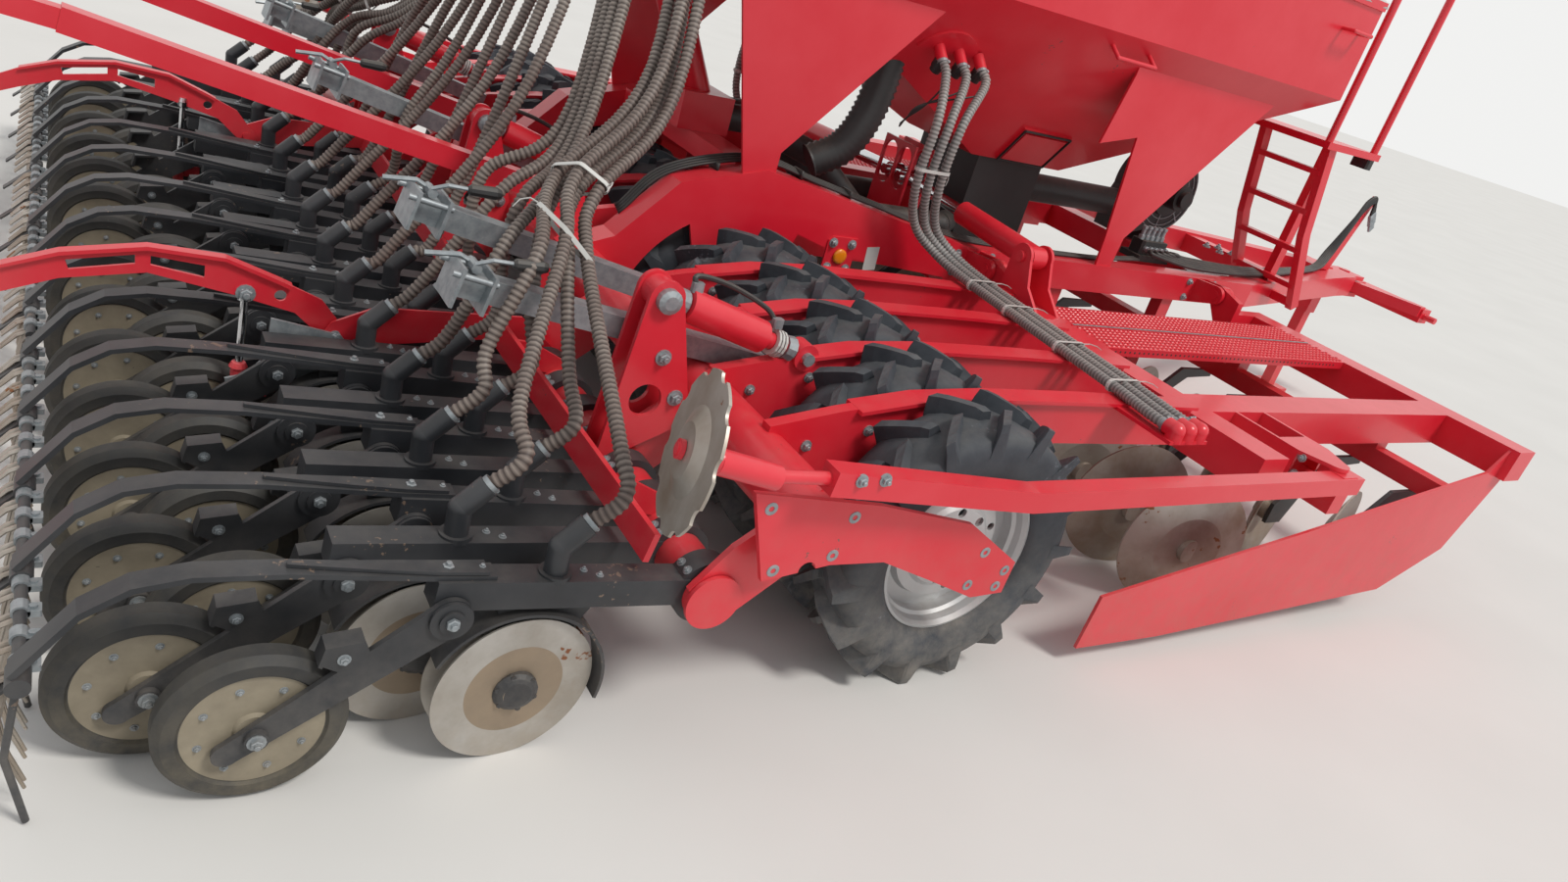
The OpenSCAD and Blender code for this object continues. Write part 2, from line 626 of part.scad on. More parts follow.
module main_frame() {
  color(red) difference() {
    union() {
      for (s = [-1, 1]) side_plate(s * (side_in + side_out) / 2, side_out - side_in) arch_profile();
      bar_y(cross_x, cross_z, cross_r, -rail_mid, rail_mid);
      bar_y(rail_x, rail_z, rail_r, -rail_mid, rail_mid);
      for (y = [-560, 0, 560])
        side_plate(y, 16) polygon([[rail_x - 60, rail_z + 30], [rail_x - 20, rail_z - 62], [rail_x + 40,
          rail_z - 60],
          [cross_x + 60, cross_z - 60], [cross_x + 70, cross_z + 40], [cross_x, cross_z + 85],
            [rail_x + 20, rail_z + 130]]);
      lift_tower(0);
      stop_bar(-rail_mid + 8, rail_mid - 8, [-3 * row_pitch, 3 * row_pitch]);
      for (y = mid_arm_y) packer_arm(y);
      for (s = [-1, 1]) side_plate(s * (side_out - 6), 12) polygon([[-200, tyre_r + 340], [-60,
        tyre_r - 60], [60, tyre_r - 60],
        [200, tyre_r + 340], [250, 880], [-250, 870]]);
      bar_y(0, tyre_r, axle_r, -side_out, side_out);
      tube_y([beam_rear_x, -side_in - 1, 600], [beam_rear_x + beam, side_in + 1, 700], 8);
      tube_y([-40, -side_in - 1, 870], [80, side_in + 1, 940], 8);
      tube_y([beam_front_x - 120, -side_in - 1, 662], [beam_front_x, side_in + 1, 774], 8);
      // hinge ears, two on each side of every wing lug
      for (s = [-1, 1]) for (x = [beam_rear_x + 45, beam_front_x - 150]) for (d = [-26, 40])
        translate([x + d, 0, 0]) rotate([90, 0, 90]) linear_extrude(20) union() {
          translate([s * hinge_y, hinge_z]) circle(r = 40);
          polygon([[s * (side_out - 2), 664], [s * (hinge_y - 5), hinge_z - 40], [s * (hinge_y - 5),
            hinge_z + 40],
            [s * (side_out - 2), 772]]);
        }
      for (s = [-1, 1]) for (x = [beam_rear_x + 45, beam_front_x - 150]) bar_x(s * hinge_y, hinge_z,
        pin_r, x - 30, x + 64);
      // centre ears of the fold cylinders, slotted
      for (x = [fold_x - 12 - 42, fold_x + 42]) difference() {
        box([x, -105, 690], [x + 12, 105, slot_high + 60]);
        for (s = [-1, 1]) hull_slot(x, s * fold_in_y);
      }
      // harrow cross tubes
      for (x = [harrow_front + 330, harrow_rear + 330]) box([x, -side_out - 60, 470], [x + 70,
        side_out + 60, 540]);
      for (x = [harrow_front + 330, harrow_rear + 330]) for (y = [-side_in - 50, side_in + 50])
        box([x, y - 30, 540], [x + 70, y + 30, 670]);
    }
  }
}

// The slot in which a fold cylinder's inner pin floats.
module hull_slot(x, y) {
  r = pin_r + 24;
  bar_x(y, slot_low, r, x - 1, x + 13);
  bar_x(y, slot_high, r, x - 1, x + 13);
  box([x - 1, y - r, slot_low], [x + 13, y + r, slot_high]);
}

module drawbar() {
  color(red) difference() {
    union() {
      for (s = [-1, 1]) translate([0, 0, 662]) linear_extrude(112)
        polygon([[beam_front_x, s * side_in], [beam_front_x, s * side_out], [2800, s * side_out], [4180,
          s * 190],
          [4370, s * 150], [4398, s * 60], [4150, s * 90], [2760, s * side_in]]);
      box([4150, -95, 662], [4400, 95, 690]);
      box([4150, -95, 746], [4400, 95, 774]);
      box([4380, -90, 740], [4560, 90, 764]);
      box([4380, -90, 640], [4560, 90, 664]);
      translate([4480, 0, 630]) cylinder(h = 144, r = 32);
      box([3350, -330, 672], [3430, 330, 764]);
      // stand sleeve
      difference() {
        box([4230, -leg_side / 2 - 12, 500], [4230 + leg_side + 24, leg_side / 2 + 12, 700]);
        box([4230 + 12 - gap, -leg_side / 2 - gap, 490], [4230 + 12 + leg_side + gap, leg_side / 2 + gap,
          710]);
      }
      // hose rest
      side_plate(-60, 10) polygon([[4060, 770], [4200, 770], [4330, 1200], [4290, 1220]]);
    }
    box([4230 + 12 - gap, -leg_side / 2 - gap, 640], [4230 + 12 + leg_side + gap, leg_side / 2 + gap, 790]);
  }
}

module hitch() {
  color(red) difference() {
    union() {
      translate([4480, 0, 664.5]) cylinder(h = 75, r = 62);
      for (s = [-1, 1]) translate([0, 0, 672]) linear_extrude(60)
        polygon([[4440, s * 20], [4520, s * 10], [front_end - 60, s * 360], [front_end - 60, s * 440],
          [front_end - 110, s * 440]]);
      box([front_end - 90, -450, 640], [front_end, 450, 720]);
      box([4520, -60, 676], [front_end - 80, 60, 728]);
    }
    translate([4480, 0, 600]) cylinder(h = 200, r = 32 + gap);
  }
  color(steel) for (s = [-1, 1]) bar_y(front_end - 50, 680, link_r, s > 0 ? 449 : -520, s > 0 ? 520 : -449);
}

module stand() {
  color(red) union() {
    box([4242, -leg_side / 2, 20], [4242 + leg_side, leg_side / 2, 780]);
    box([4192, -90, 0], [4192 + 160, 90, 20]);
  }
}

// Hopper
module hopper_solid(t) {
  top = rim_z + (t > 0 ? 1 : 0);
  low = outlet_z - (t > 0 ? 1 : 0);
  polyhedron(points = [
    [-hopper_back + t, -hopper_half + t, top], [hopper_front - t, -hopper_half + t, top],
    [hopper_front - t, hopper_half - t, top], [-hopper_back + t, hopper_half - t, top],
    [-hopper_back + t, -hopper_half + t, crease_z], [hopper_front - t, -hopper_half + t, crease_z],
    [hopper_front - t, hopper_half - t, crease_z], [-hopper_back + t, hopper_half - t, crease_z],
    [1150 + t, -220 + t, low], [1650 - t, -220 + t, low], [1650 - t, 220 - t, low], [1150 + t, 220 - t,
      low]],
    faces = [[0, 3, 2, 1], [0, 1, 5, 4], [1, 2, 6, 5], [2, 3, 7, 6], [3, 0, 4, 7],
      [4, 5, 9, 8], [5, 6, 10, 9], [6, 7, 11, 10], [7, 4, 8, 11], [8, 9, 10, 11]]);
}

// Top line of the arch beam between its two corners around the axle.
function arch_top(x) = 0.3 + (x < 30 ? 949 - (30 - x) * 78 / 299 : 949 - (x - 30) * 41 / 247);

module hopper() {
  color(red) union() {
    difference() {
      hopper_solid(0);
      hopper_solid(hopper_t);
    }
    for (s = [-1, 1]) {
      side_plate(s * (side_out - 10), 10) polygon([[-hopper_back + 5, crease_z + 5], [-hopper_back + 5,
        1435],
        [-60, arch_top(-60)], [30, arch_top(30)], [60, arch_top(60)], [60, 1010], [560, crease_z - 60],
          [560, crease_z + 5]]);
      side_plate(s * (side_out - 10), 10) polygon([[1500, crease_z - 120], [1450, 1250], [1640, 1300],
        [1690, 900], [1700, 774.3], [1790, 774.3], [1800, 900], [2400, crease_z - 60], [2400,
          crease_z + 5], [1500, crease_z + 5]]);
    }
    // rolled rim
    for (s = [-1, 1]) box([-hopper_back, s * hopper_half - (s < 0 ? 10 : 0), rim_z - 34],
      [hopper_front, s * hopper_half + (s > 0 ? 10 : 0), rim_z]);
    // outlet plate with its stubs, handles and the calibration door's frame on the right side
    on_funnel() {
      translate([653, 0, 443]) rotate([90, 0, 0]) linear_extrude(9) intersection() {
        translate([0, -46]) circle(r = 140);
        translate([-132, 0]) square([264, 94]);
      }
      for (x = [605 : 90 : 785]) rod_between([x, -5, 460], [x, -60, 452], hose_r + 3);
      handle(1286, 1488, 650);
      for (x = [1270, 1528]) box([x, -9, 10], [x + 12, 1, 190]);
      box([1270, -9, 178], [1540, 1, 190]);
    }
    translate([0, -hopper_half, 0]) handle(2480, 2600, 1900);
  }
}

// Turns what stands on the X and Z plane onto the funnel's right panel, with Z up its slope from the mouth.
module on_funnel() {
  translate([0, -220, outlet_z]) rotate([funnel_turn, 0, 0]) children();
}

// A bent round handle between two places along X.
module handle(x0, x1, z) {
  pipe([[x0, 1, z], [x0, -58, z], [x1, -58, z], [x1, 1, z]], 8);
}

module hopper_cover() {
  color([0.85, 0.85, 0.82]) translate([-hopper_back - 12, 0, 0]) rotate([90, 0,
    90]) linear_extrude(hopper_back + hopper_front + 24)
    polygon([[-hopper_half - 12, rim_z + 0.3], [-hopper_half - 12, rim_z + 30], [-hopper_half + 80,
      rim_z + 62], [0, rim_z + 100],
      [hopper_half - 80, rim_z + 62], [hopper_half + 12, rim_z + 30], [hopper_half + 12, rim_z + 0.3]]);
}

// Outer face of the drawbar at x.
function bar_out(x) = side_out - (x - 2800) * (side_out - 190) / 1380 + 0.3;

module platform() {
  color(red) {
    for (y = [-600, -250]) side_plate(y, 36)
      polygon([[3139, 711], [2959, 1060], [2845, 1457], [2797, 1443], [2913, 1040], [3095, 689]]);
    for (z = [800, 970, 1150,
      1330]) translate([z < 1050 ? 3117 - (z - 700) * 0.517 : 2936 - (z - 1050) * 0.2875, 0, z])
      box([-30, -600, -12], [30, -250, 12]);
    box([2740, -640, 1440], [3160, 640, 1470]);
    for (s = [-1, 1]) box([3080, s * 420 - 20, 774.3], [3130, s * 420 + 20, 1445]);
    translate([0, 0, 700]) linear_extrude(40)
      polygon([[3085, -600], [3125, -600], [3125, -bar_out(3125)], [3085, -bar_out(3085)]]);
  }
  color(red) for (s = [-1, 1]) {
    rod_between([3135, s * 615, 1455], [3135, s * 615, 2317], 17);
    rod_between([3135, s * 615, 2297], [2765, s * 615, 2297], 14);
    rod_between([2765, s * 615, 1455], [2765, s * 615, 2317], 17);
  }
}

module fan() {
  color(black) union() {
    side_plate(0, 180) union() {
      translate([2560, 1030]) circle(r = 190);
      polygon([[2380, 1030], [2340, 915], [2340, 800], [2580, 866], [2560, 1030]]);
      polygon([[2500, 774.3], [2620, 774.3], [2640, 870], [2480, 870]]);
    }
    bar_y(2560, 1030, 105, -110, -90);
    bar_y(2560, 1030, 62, -180, -110);
    bar_y(2560, 1030, 40, -205, -180);
  }
  color(red) pipe([[2350, 0, 930], [1760, 0, 930], [1580.3, 0, 930]], 62);
}

// A run of round pipe through a list of points, with round bends.
module pipe(pts, r) {
  for (i = [0 : len(pts) - 2]) rod_between(pts[i], pts[i + 1], r);
  for (i = [1 : len(pts) - 2]) translate(pts[i]) sphere(r = r + 0.5);
}

// A point between b and c on the smooth curve through four points.
function smooth(a, b, c, d,
  t) = (2 * b + (c - a) * t + (2 * a - 5 * b + 4 * c - d) * t * t + (3 * b - a - 3 * c + d) * t * t * t)
    / 2;
function way_point(p, i) = i < 0 ? 2 * p[0] - p[1] : i < len(p) ? p[i] : 2 * p[len(p) - 1] - p[len(p) - 2];
function smooth_way(p, u) = let (i = min(floor(u), len(p) - 2))
  smooth(way_point(p, i - 1), way_point(p, i), way_point(p, i + 1), way_point(p, i + 2), u - i);
function unit(v) = v / norm(v);
// The side vectors of each ring, turned as little as the route allows.
function ring_sides(t, i, u) = i >= len(t) ? [] : let (v = unit(u - (u * t[i]) * t[i])) concat([v],
  ring_sides(t, i + 1, v));

// A hose swept in k rings of 8 corners along the smooth route through the points in p.
module hose(p, k) {
  c = [for (i = [0 : k]) smooth_way(p, i * (len(p) - 1) / k)];
  t = [for (i = [0 : k]) unit(i == 0 ? p[1] - p[0] : i == k ? p[len(p) - 1] - p[len(p) - 2] : c[i + 1]
    - c[i - 1])];
  v = ring_sides(t, 0, [0.1, 0.2, 1]);
  m = 8;
  polyhedron(points = [for (i = [0 : k]) for (j = [0 : m - 1])
      c[i] + hose_r * (cos(j * 360 / m) * v[i] + sin(j * 360 / m) * cross(t[i], v[i]))],
    faces = concat([[for (j = [0 : m - 1]) j]], [[for (j = [m - 1 : -1 : 0]) k * m + j]],
      [for (i = [0 : k - 1]) for (j = [0 : m - 1]) each let (a = i * m + j, b = i * m + (j + 1) % m)
        [[a, a + m, b], [b, a + m, b + m]]]));
}

// The route of a row's seed hose from the distribution head to its elbow.
function hose_way(n) = let (m = min(n, row_count + 1 - n), s = n == m ? -1 : 1, k = 14 - m,
  a = 175.5 - 9 * k,
    odd = n % 2 == 1, lx = odd ? 18 : -18, lz = odd ? -16 : 16, up = m == 1 ? 36 : 0,
      e = elbow_end(n) + [0.3, 0, 0.3])
  concat(
    [[head_x + (head_r + 0.3) * cos(a), s * (head_r + 0.3) * sin(a), head_z],
      [head_x + (head_r + 90) * cos(a), s * (head_r + 90) * sin(a), head_z]],
    m <= 5 ? [[-250 - 12 * m, s * (623 - 48 * m), head_z - 90 + up]]
      : [[head_x + (head_r + 125) * cos(a), s * (head_r + 125) * sin(a), head_z - 90]],
    [[-560 + 12 * k, s * (30 + 48 * k), 1900]],
    m <= 5 ? [[-590 + lx, s * (870 + 30 * (5 - m)), 1230 + lz], [-835 - 15 * (m - 1) + lx,
      s * (1095 + 24 * (5 - m)), 1010 - 10 * m + lz]]
      : m <= 9 ? [[-735, s * (740 + 44 * (9 - m)), 1085]] : [[-800, 0.9 * row_y(n), 1100]],
    m <= 4 ? [[m < 4 ? -880 - 20 * m + lx : odd ? -942 : -1002, s * (m == 4 ? 1365 : 1345),
      m == 4 ? 870 + 0.75 * lz : 910 + lz - 12 * m + (m == 3 && !odd ? 15 : 0)],
      e + [76, -s * (m == 4 ? 55 : 110), 136]] : [],
    m == 5 ? [[odd ? -962 : -1015, s * 1280, 735]] : [],
    m == 6 ? [[odd ? -915 : -1015, row_y(n) - s * 20, 840]] : [],
    m == 7 ? [[-935, s * 1034, 900], [odd ? -958 : -1045, s * 1038, 760]] : [],
    m == 8 || m == 9 ? [[-950, row_y(n) - s * 20, 870]] : [],
    n == 15 ? [[-950, 42, 800]] : [],
    [e + [64, 0, 64], e]);

module seed_hoses(rows) {
  color(black) for (n = rows) let (p = hose_way(n)) hose(p, 2 * len(p) - 2);
}

// The hoses from the outlets on the hopper's side over the harrow to the outer rows.
module side_hoses() {
  color(black) for (i = [0 : 2])
    hose([[605 + 90 * i, -528.6, 1395.8], [605 + 90 * i, -572.3, 1354.7], [552 + 55 * i, -668, 1220],
      [545 + 52 * i, -672, 1010], [610 + 48 * i, -655, 865], [700 + 46 * i, -705, 785], [728 + 46 * i,
        -880, 752],
      [690 + 46 * i, -1250, 750], [650 + 48 * i, -1640, 750], [620 + 50 * i, -1840, 750],
      [620 + 50 * i, -1899.7, 750]], 20);
}

module metering_unit() {
  color(black) box([1220, -190, 700], [1580, 190, outlet_z - 0.3]);
  for (s = [-1, 1]) color(black)
    pipe([[1225, s * 130, 757], [1120, s * 200, 757], [700, s * 200, 757], [480, s * 150, 930], [230,
      s * 60, 1000], [110.3, s * 60, 1000]], 48);
}

module flap() {
  color(red) translate([1290, -220, outlet_z]) rotate([funnel_turn, 0, 0]) box([0, -14.3, 20], [230, -0.3,
    170]);
}

module seed_tower() {
  color(red) union() {
    box([-90, -110, 940.3], [110, 110, 1070]);
    pipe([[10, 0, 1040], [-300, 0, 1600], [-300, 0, 2160]], 58);
    translate([-300, 0, 0]) rotate_extrude() polygon([[0, 2140], [57, 2140], [190, 2210], [250, 2210],
      [250, 2320], [120, 2360], [0, 2360]]);
  }
}

module lamp_carriers() {
  color(red) for (s = [-1, 1]) {
    lean_bar([-560, 735], [-1870, 1010], s * 420, 60, 60);
    lean_bar([-1860, 1008], [-rear_end + 10, 1180], s * 420, 50, 50);
    difference() {
      side_plate(s * 420, 56) polygon([[cross_x - 40, cross_z + 30], [cross_x + 40, cross_z + 30], [-520,
        760], [-640, 760]]);
      bar_y(cross_x, cross_z, cross_r + 0.3, s * 420 - 40, s * 420 + 40);
    }
    box([-rear_end, s * 480 - 240, 1080], [-rear_end + 12, s * 480 + 240, 1280]);
  }
}

// Moving pieces on the wings
// Turns what stands on Z at the origin onto the marker disc's axle; Z points to the rear.
module on_marker_axle() {
  translate(marker_tip) rotate([0, 0, 180 - disc_lean]) rotate([0, 90 - disc_rise, 0]) children();
}

module marker_arm() {
  color(red) difference() {
    union() {
      translate([marker_x, -marker_y, beam_top - 77.5]) cylinder(h = 65, r = 38);
      box([marker_x - 38, -side_y - 100, beam_top - 74], [marker_x + 38, -marker_y, beam_top - 16]);
      // bent square tube
      side_plate(-marker_tube_y, 54) polygon([[marker_x + 68, beam_top - 72], [-27, beam_top - 69], [-625,
        beam_top], [-619, beam_top + 54],
        [-27, beam_top - 15], [marker_x + 68, beam_top - 18]]);
      rod_between([-610, -marker_tube_y, beam_top + 26], [-760, -marker_tube_y, beam_top + 36], 14);
      rod_between([-745, -marker_tube_y, beam_top + 32], [-888, -marker_tube_y, beam_top + 71], 26);
      on_marker_axle() translate([0, 0, -66]) cylinder(h = 46, r = 24);
    }
    translate([marker_x, -marker_y, 0]) cylinder(h = 2000, r = marker_pin_r + gap);
  }
  color(steel) on_marker_axle() {
    translate([0, 0, -30]) cylinder(h = 50, r = 12);
    translate([0, 0, 7]) cylinder(h = 10, r = 19);
  }
}

// A dished disc with scallops around its edge.
module marker_disc() {
  color(steel) on_marker_axle() difference() {
    rotate_extrude($fn = 72) polygon([[12 + gap, 0], [50, 0], [84, -14], [marker_r, -14], [marker_r, -8],
      [87, -8], [53, 6], [12 + gap, 6]]);
    for (k = [0 : 9]) rotate([0, 0, k * 36]) translate([marker_r + 12, 0, -20]) cylinder(h = 40, r = 24);
  }
}

// The curved arm of the tramline marker with a flange on its top edge, slots and its small marking disc.
module sickle() {
  color(red) difference() {
    union() {
      side_plate(-sickle_y, sickle_t) difference() {
        union() {
          translate([sickle_x, sickle_z]) circle(r = 30);
          polygon([[-1270, 455], [-1330, 530], [-1429, 574], [-1548, 621], [-1707, 634], [-1873, 606],
            [-1977, 567], [-2110, 495],
            [-2230, 405], [-2330, 300], [-2352, 312], [-2300, 276], [-2205, 372], [-2090, 455], [-1979,
              504], [-1873, 544],
            [-1706, 571], [-1523, 529], [-1390, 492], [-1318, 425]]);
        }
        polygon([[-1590, 568], [-1700, 590], [-1700, 612], [-1590, 598]]);
        polygon([[-1730, 590], [-1856, 566], [-1862, 588], [-1730, 612]]);
        translate([-1425, 535]) circle(r = 14);
      }
      side_plate(-sickle_y, 30) polygon([[-1400, 564], [-1429, 577], [-1548, 624], [-1707, 637], [-1873,
        609], [-1977, 570],
        [-1981, 561], [-1873, 600], [-1707, 628], [-1548, 615], [-1432, 568], [-1404, 555]]);
      bar_y(-2320, 300, 14, -sickle_y - 40, -sickle_y + 4);
    }
    bar_y(sickle_x, sickle_z, 12 + gap, -sickle_y - 10, -sickle_y + 10);
  }
  color(steel) translate([-2320, -sickle_y - 30, 300]) rotate([90, 0, 0]) difference() {
    cylinder(h = 5, r = 120);
    for (k = [0 : 7]) rotate([0, 0, k * 45]) translate([132, 0, -1]) cylinder(h = 7, r = 22);
  }
}

module fold_barrel() {
  color(red) difference() {
    union() {
      bar_x(-ear_y, ear_z, 40, fold_x - 34, fold_x + 34);
      rod_between([fold_x, -ear_y, ear_z], [fold_x, -ear_y + 420, ear_z + 18], barrel_r);
    }
    bar_x(-ear_y, ear_z, pin_r + gap, beam_rear_x, beam_rear_x + 120);
    rod_between([fold_x, -ear_y + 50, ear_z + 2.1], [fold_x, -ear_y + 440, ear_z + 18.9], 25 + gap);
  }
}

module fold_rod() {
  color(steel) union() {
    rod_between([fold_x, -ear_y + 400, ear_z + 17.1], [fold_x, -fold_in_y - 20, ear_z + 33.1], 25);
    bar_x(-fold_in_y, ear_z + 34, 32, fold_x - 30, fold_x + 30);
    bar_x(-fold_in_y, ear_z + 34, pin_r, fold_x - 60, fold_x + 60);
  }
}

machine() main_frame();
machine() drawbar();
machine() hopper();
machine() hopper_cover();
machine() platform();
machine() fan();
machine() metering_unit();
machine() seed_tower();
machine() lamp_carriers();
machine() harrow_arms(0, 9);  // harrow_arms_right
machine() harrow_arms(10, 20);  // harrow_arms_centre
machine() harrow_arms(21, 30);  // harrow_arms_left
machine() harrow_discs(0, 9);  // harrow_discs_right
machine() harrow_discs(10, 20);  // harrow_discs_centre
machine() harrow_discs(21, 30);  // harrow_discs_left
machine() wing_frame();  // wing_frame_right
machine() mirror([0, 1, 0]) wing_frame();  // wing_frame_left
machine() coulters(RIGHT_ROWS, -side_y + 50, -rail_wing);  // coulters_right
machine() coulters(MID_ROWS, -rail_mid, rail_mid);  // coulters_centre
machine() coulters(LEFT_ROWS, rail_wing, side_y - 50);  // coulters_left
machine() openers(RIGHT_ROWS);  // openers_right
machine() openers(MID_ROWS);  // openers_centre
machine() openers(LEFT_ROWS);  // openers_left
machine() tyres(1, 5);  // tyres_right
machine() tyres(6, 9);  // tyres_centre
machine() tyres(10, 14);  // tyres_left
machine() rims(1, 5);  // rims_right
machine() rims(6, 9);  // rims_centre
machine() rims(10, 14);  // rims_left
machine() press_wheels(RIGHT_ROWS, 1);  // press_front_right
machine() press_wheels(RIGHT_ROWS, 0);  // press_rear_right
machine() press_wheels(MID_ROWS, 1);  // press_front_centre
machine() press_wheels(MID_ROWS, 0);  // press_rear_centre
machine() press_wheels(LEFT_ROWS, 1);  // press_front_left
machine() press_wheels(LEFT_ROWS, 0);  // press_rear_left
machine() marker_arm();  // marker_arm_right
machine() mirror([0, 1, 0]) marker_arm();  // marker_arm_left
machine() marker_disc();  // marker_disc_right
machine() mirror([0, 1, 0]) marker_disc();  // marker_disc_left
machine() sickle();  // sickle_right
machine() mirror([0, 1, 0]) sickle();  // sickle_left
machine() fold_barrel();  // fold_barrel_right
machine() mirror([0, 1, 0]) fold_barrel();  // fold_barrel_left
machine() fold_rod();  // fold_rod_right
machine() mirror([0, 1, 0]) fold_rod();  // fold_rod_left
machine() hitch();
machine() stand();
machine() flap();
machine() wing_brackets();  // brackets_right
machine() mirror([0, 1, 0]) wing_brackets();  // brackets_left
machine() centre_brackets();  // brackets_centre
machine() seed_hoses(RIGHT_ROWS);  // seed_hoses_right
machine() seed_hoses(MID_ROWS);  // seed_hoses_centre
machine() seed_hoses(LEFT_ROWS);  // seed_hoses_left
machine() side_hoses();  // side_hoses_right
machine() mirror([0, 1, 0]) side_hoses();  // side_hoses_left
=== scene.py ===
# %% [markdown]
# # A trailed seed drill, dressed in Blender
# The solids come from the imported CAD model, which stays a fixed frame: nothing here moves or reshapes
# them. This lesson gives every solid a worn finish, then adds what is too small or too soft for the
# solids: ribs on the seed hoses, clamps, bolts, perforated steps, cables and the hopper's tarpaulin.

import math

import bmesh
import bpy
from mathutils import Matrix, Vector


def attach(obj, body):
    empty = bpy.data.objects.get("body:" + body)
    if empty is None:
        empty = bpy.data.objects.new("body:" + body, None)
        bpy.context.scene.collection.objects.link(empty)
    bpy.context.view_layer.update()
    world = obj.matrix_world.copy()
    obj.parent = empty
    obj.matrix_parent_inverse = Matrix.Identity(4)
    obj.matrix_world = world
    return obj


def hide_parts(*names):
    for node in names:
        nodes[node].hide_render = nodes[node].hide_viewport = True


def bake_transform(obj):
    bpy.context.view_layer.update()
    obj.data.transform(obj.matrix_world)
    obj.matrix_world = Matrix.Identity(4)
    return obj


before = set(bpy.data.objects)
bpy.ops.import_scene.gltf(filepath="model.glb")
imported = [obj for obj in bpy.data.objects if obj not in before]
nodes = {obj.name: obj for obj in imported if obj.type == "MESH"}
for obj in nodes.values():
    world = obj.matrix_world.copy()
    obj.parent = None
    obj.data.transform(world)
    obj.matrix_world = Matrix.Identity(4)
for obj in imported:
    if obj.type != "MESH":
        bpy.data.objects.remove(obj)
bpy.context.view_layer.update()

# %% [markdown]
# The CAD source measures X from the packer axle and uses millimetres, while the frame's origin is the
# middle of the footprint. One helper turns a place on the machine into the frame's metres, so that
# every number below reads like the machine's own drawing.

# %% Places on the machine
MID_X = 830.0
ROW_COUNT = 28
ROW_PITCH = 4.0 / ROW_COUNT
RANK_STEP = -155
ELBOW_X = -1077
OPENER_X, OPENER_Z = -1120, 170
PRESS_X, PRESS_Z = -1592, 160
TYRE_Z = 390
LIFT_Y = 1428.6
SIDE_FACE_Y = 571


def place(x, y, z):
    """A point of the machine's drawing, in millimetres, as a place in the frame."""
    return Vector(((x - MID_X) / 1000, y / 1000, z / 1000))


def row_y(n):
    """Middle of seed row n, counted from the right."""
    return -2000 + (n - 0.5) * 4000 / ROW_COUNT


def row_dx(n):
    """Even rows sit further back than odd rows."""
    return 0 if n % 2 else RANK_STEP


def arm_top(n, x):
    """Height of the top of row n's drag arm at x; the arm falls a little to the front."""
    return 411 + 42 * (-787 - x) / (525 - row_dx(n))


# %% [markdown]
# ## Camera, floor and light
# The photograph was taken from the rear right corner, leaning over the coulters, with the phone
# rolled. A camera can be placed by three angles, but a measured view is easier to state as its right,
# up and back directions, which are the columns of its matrix.

# %% Camera
camera_data = bpy.data.cameras.new("camera")
camera_data.sensor_width = 36
camera_data.lens = 24.93
camera = bpy.data.objects.new("camera", camera_data)
bpy.context.scene.collection.objects.link(camera)
right, up, back = (0.8314, -0.4860, 0.2694), (0.0056, 0.4920, 0.8707), (-0.5557, -0.7223, 0.4117)
turn = Matrix((right, up, back)).transposed()
camera_at = Matrix.Translation((-2.706, -3.539, 1.643))
camera.matrix_world = camera_at @ turn.to_quaternion().to_matrix().to_4x4()
bpy.context.scene.camera = camera
bpy.context.scene.view_settings.view_transform = "Standard"
print("camera at", [round(v, 3) for v in camera.location])

# %% [markdown]
# Shader trees are long to write by hand. A small helper adds a node, sets what is a plain value and
# links what is a socket, so each material reads as a list of its steps.


# %% Node helper
def add(tree, kind, inputs=None, **settings):
    """A new node; inputs maps a socket's name or number to a value or to another node's output."""
    node = tree.nodes.new(kind)
    for name, value in settings.items():
        setattr(node, name, value)
    for key, value in (inputs or {}).items():
        if isinstance(value, bpy.types.NodeSocket):
            tree.links.new(value, node.inputs[key])
        else:
            node.inputs[key].default_value = value
    return node


def calc(tree, operation, *values, **settings):
    """One step of arithmetic; gives its result's socket."""
    return add(tree, "ShaderNodeMath", dict(enumerate(values)), operation=operation, **settings).outputs[0]


def new_tree(name, sockets_in, sockets_out, kind="ShaderNodeTree"):
    """A node group with its named sockets; gives the tree, its input node and its output node."""
    tree = bpy.data.node_groups.new(name, kind)
    for label, socket, value in sockets_in:
        made = tree.interface.new_socket(label, in_out="INPUT", socket_type=socket)
        if value is not None:
            made.default_value = value
    for label, socket in sockets_out:
        tree.interface.new_socket(label, in_out="OUTPUT", socket_type=socket)
    return tree, tree.nodes.new("NodeGroupInput"), tree.nodes.new("NodeGroupOutput")


# %% [markdown]
# A dealer's photograph has daylight from everywhere and a soft sun. The studio here does the same: an
# even white world and one wide sun, at levels where a colour renders about as it is written. Camera,
# glossy and transmission rays see a paler world than the one that lights the machine.

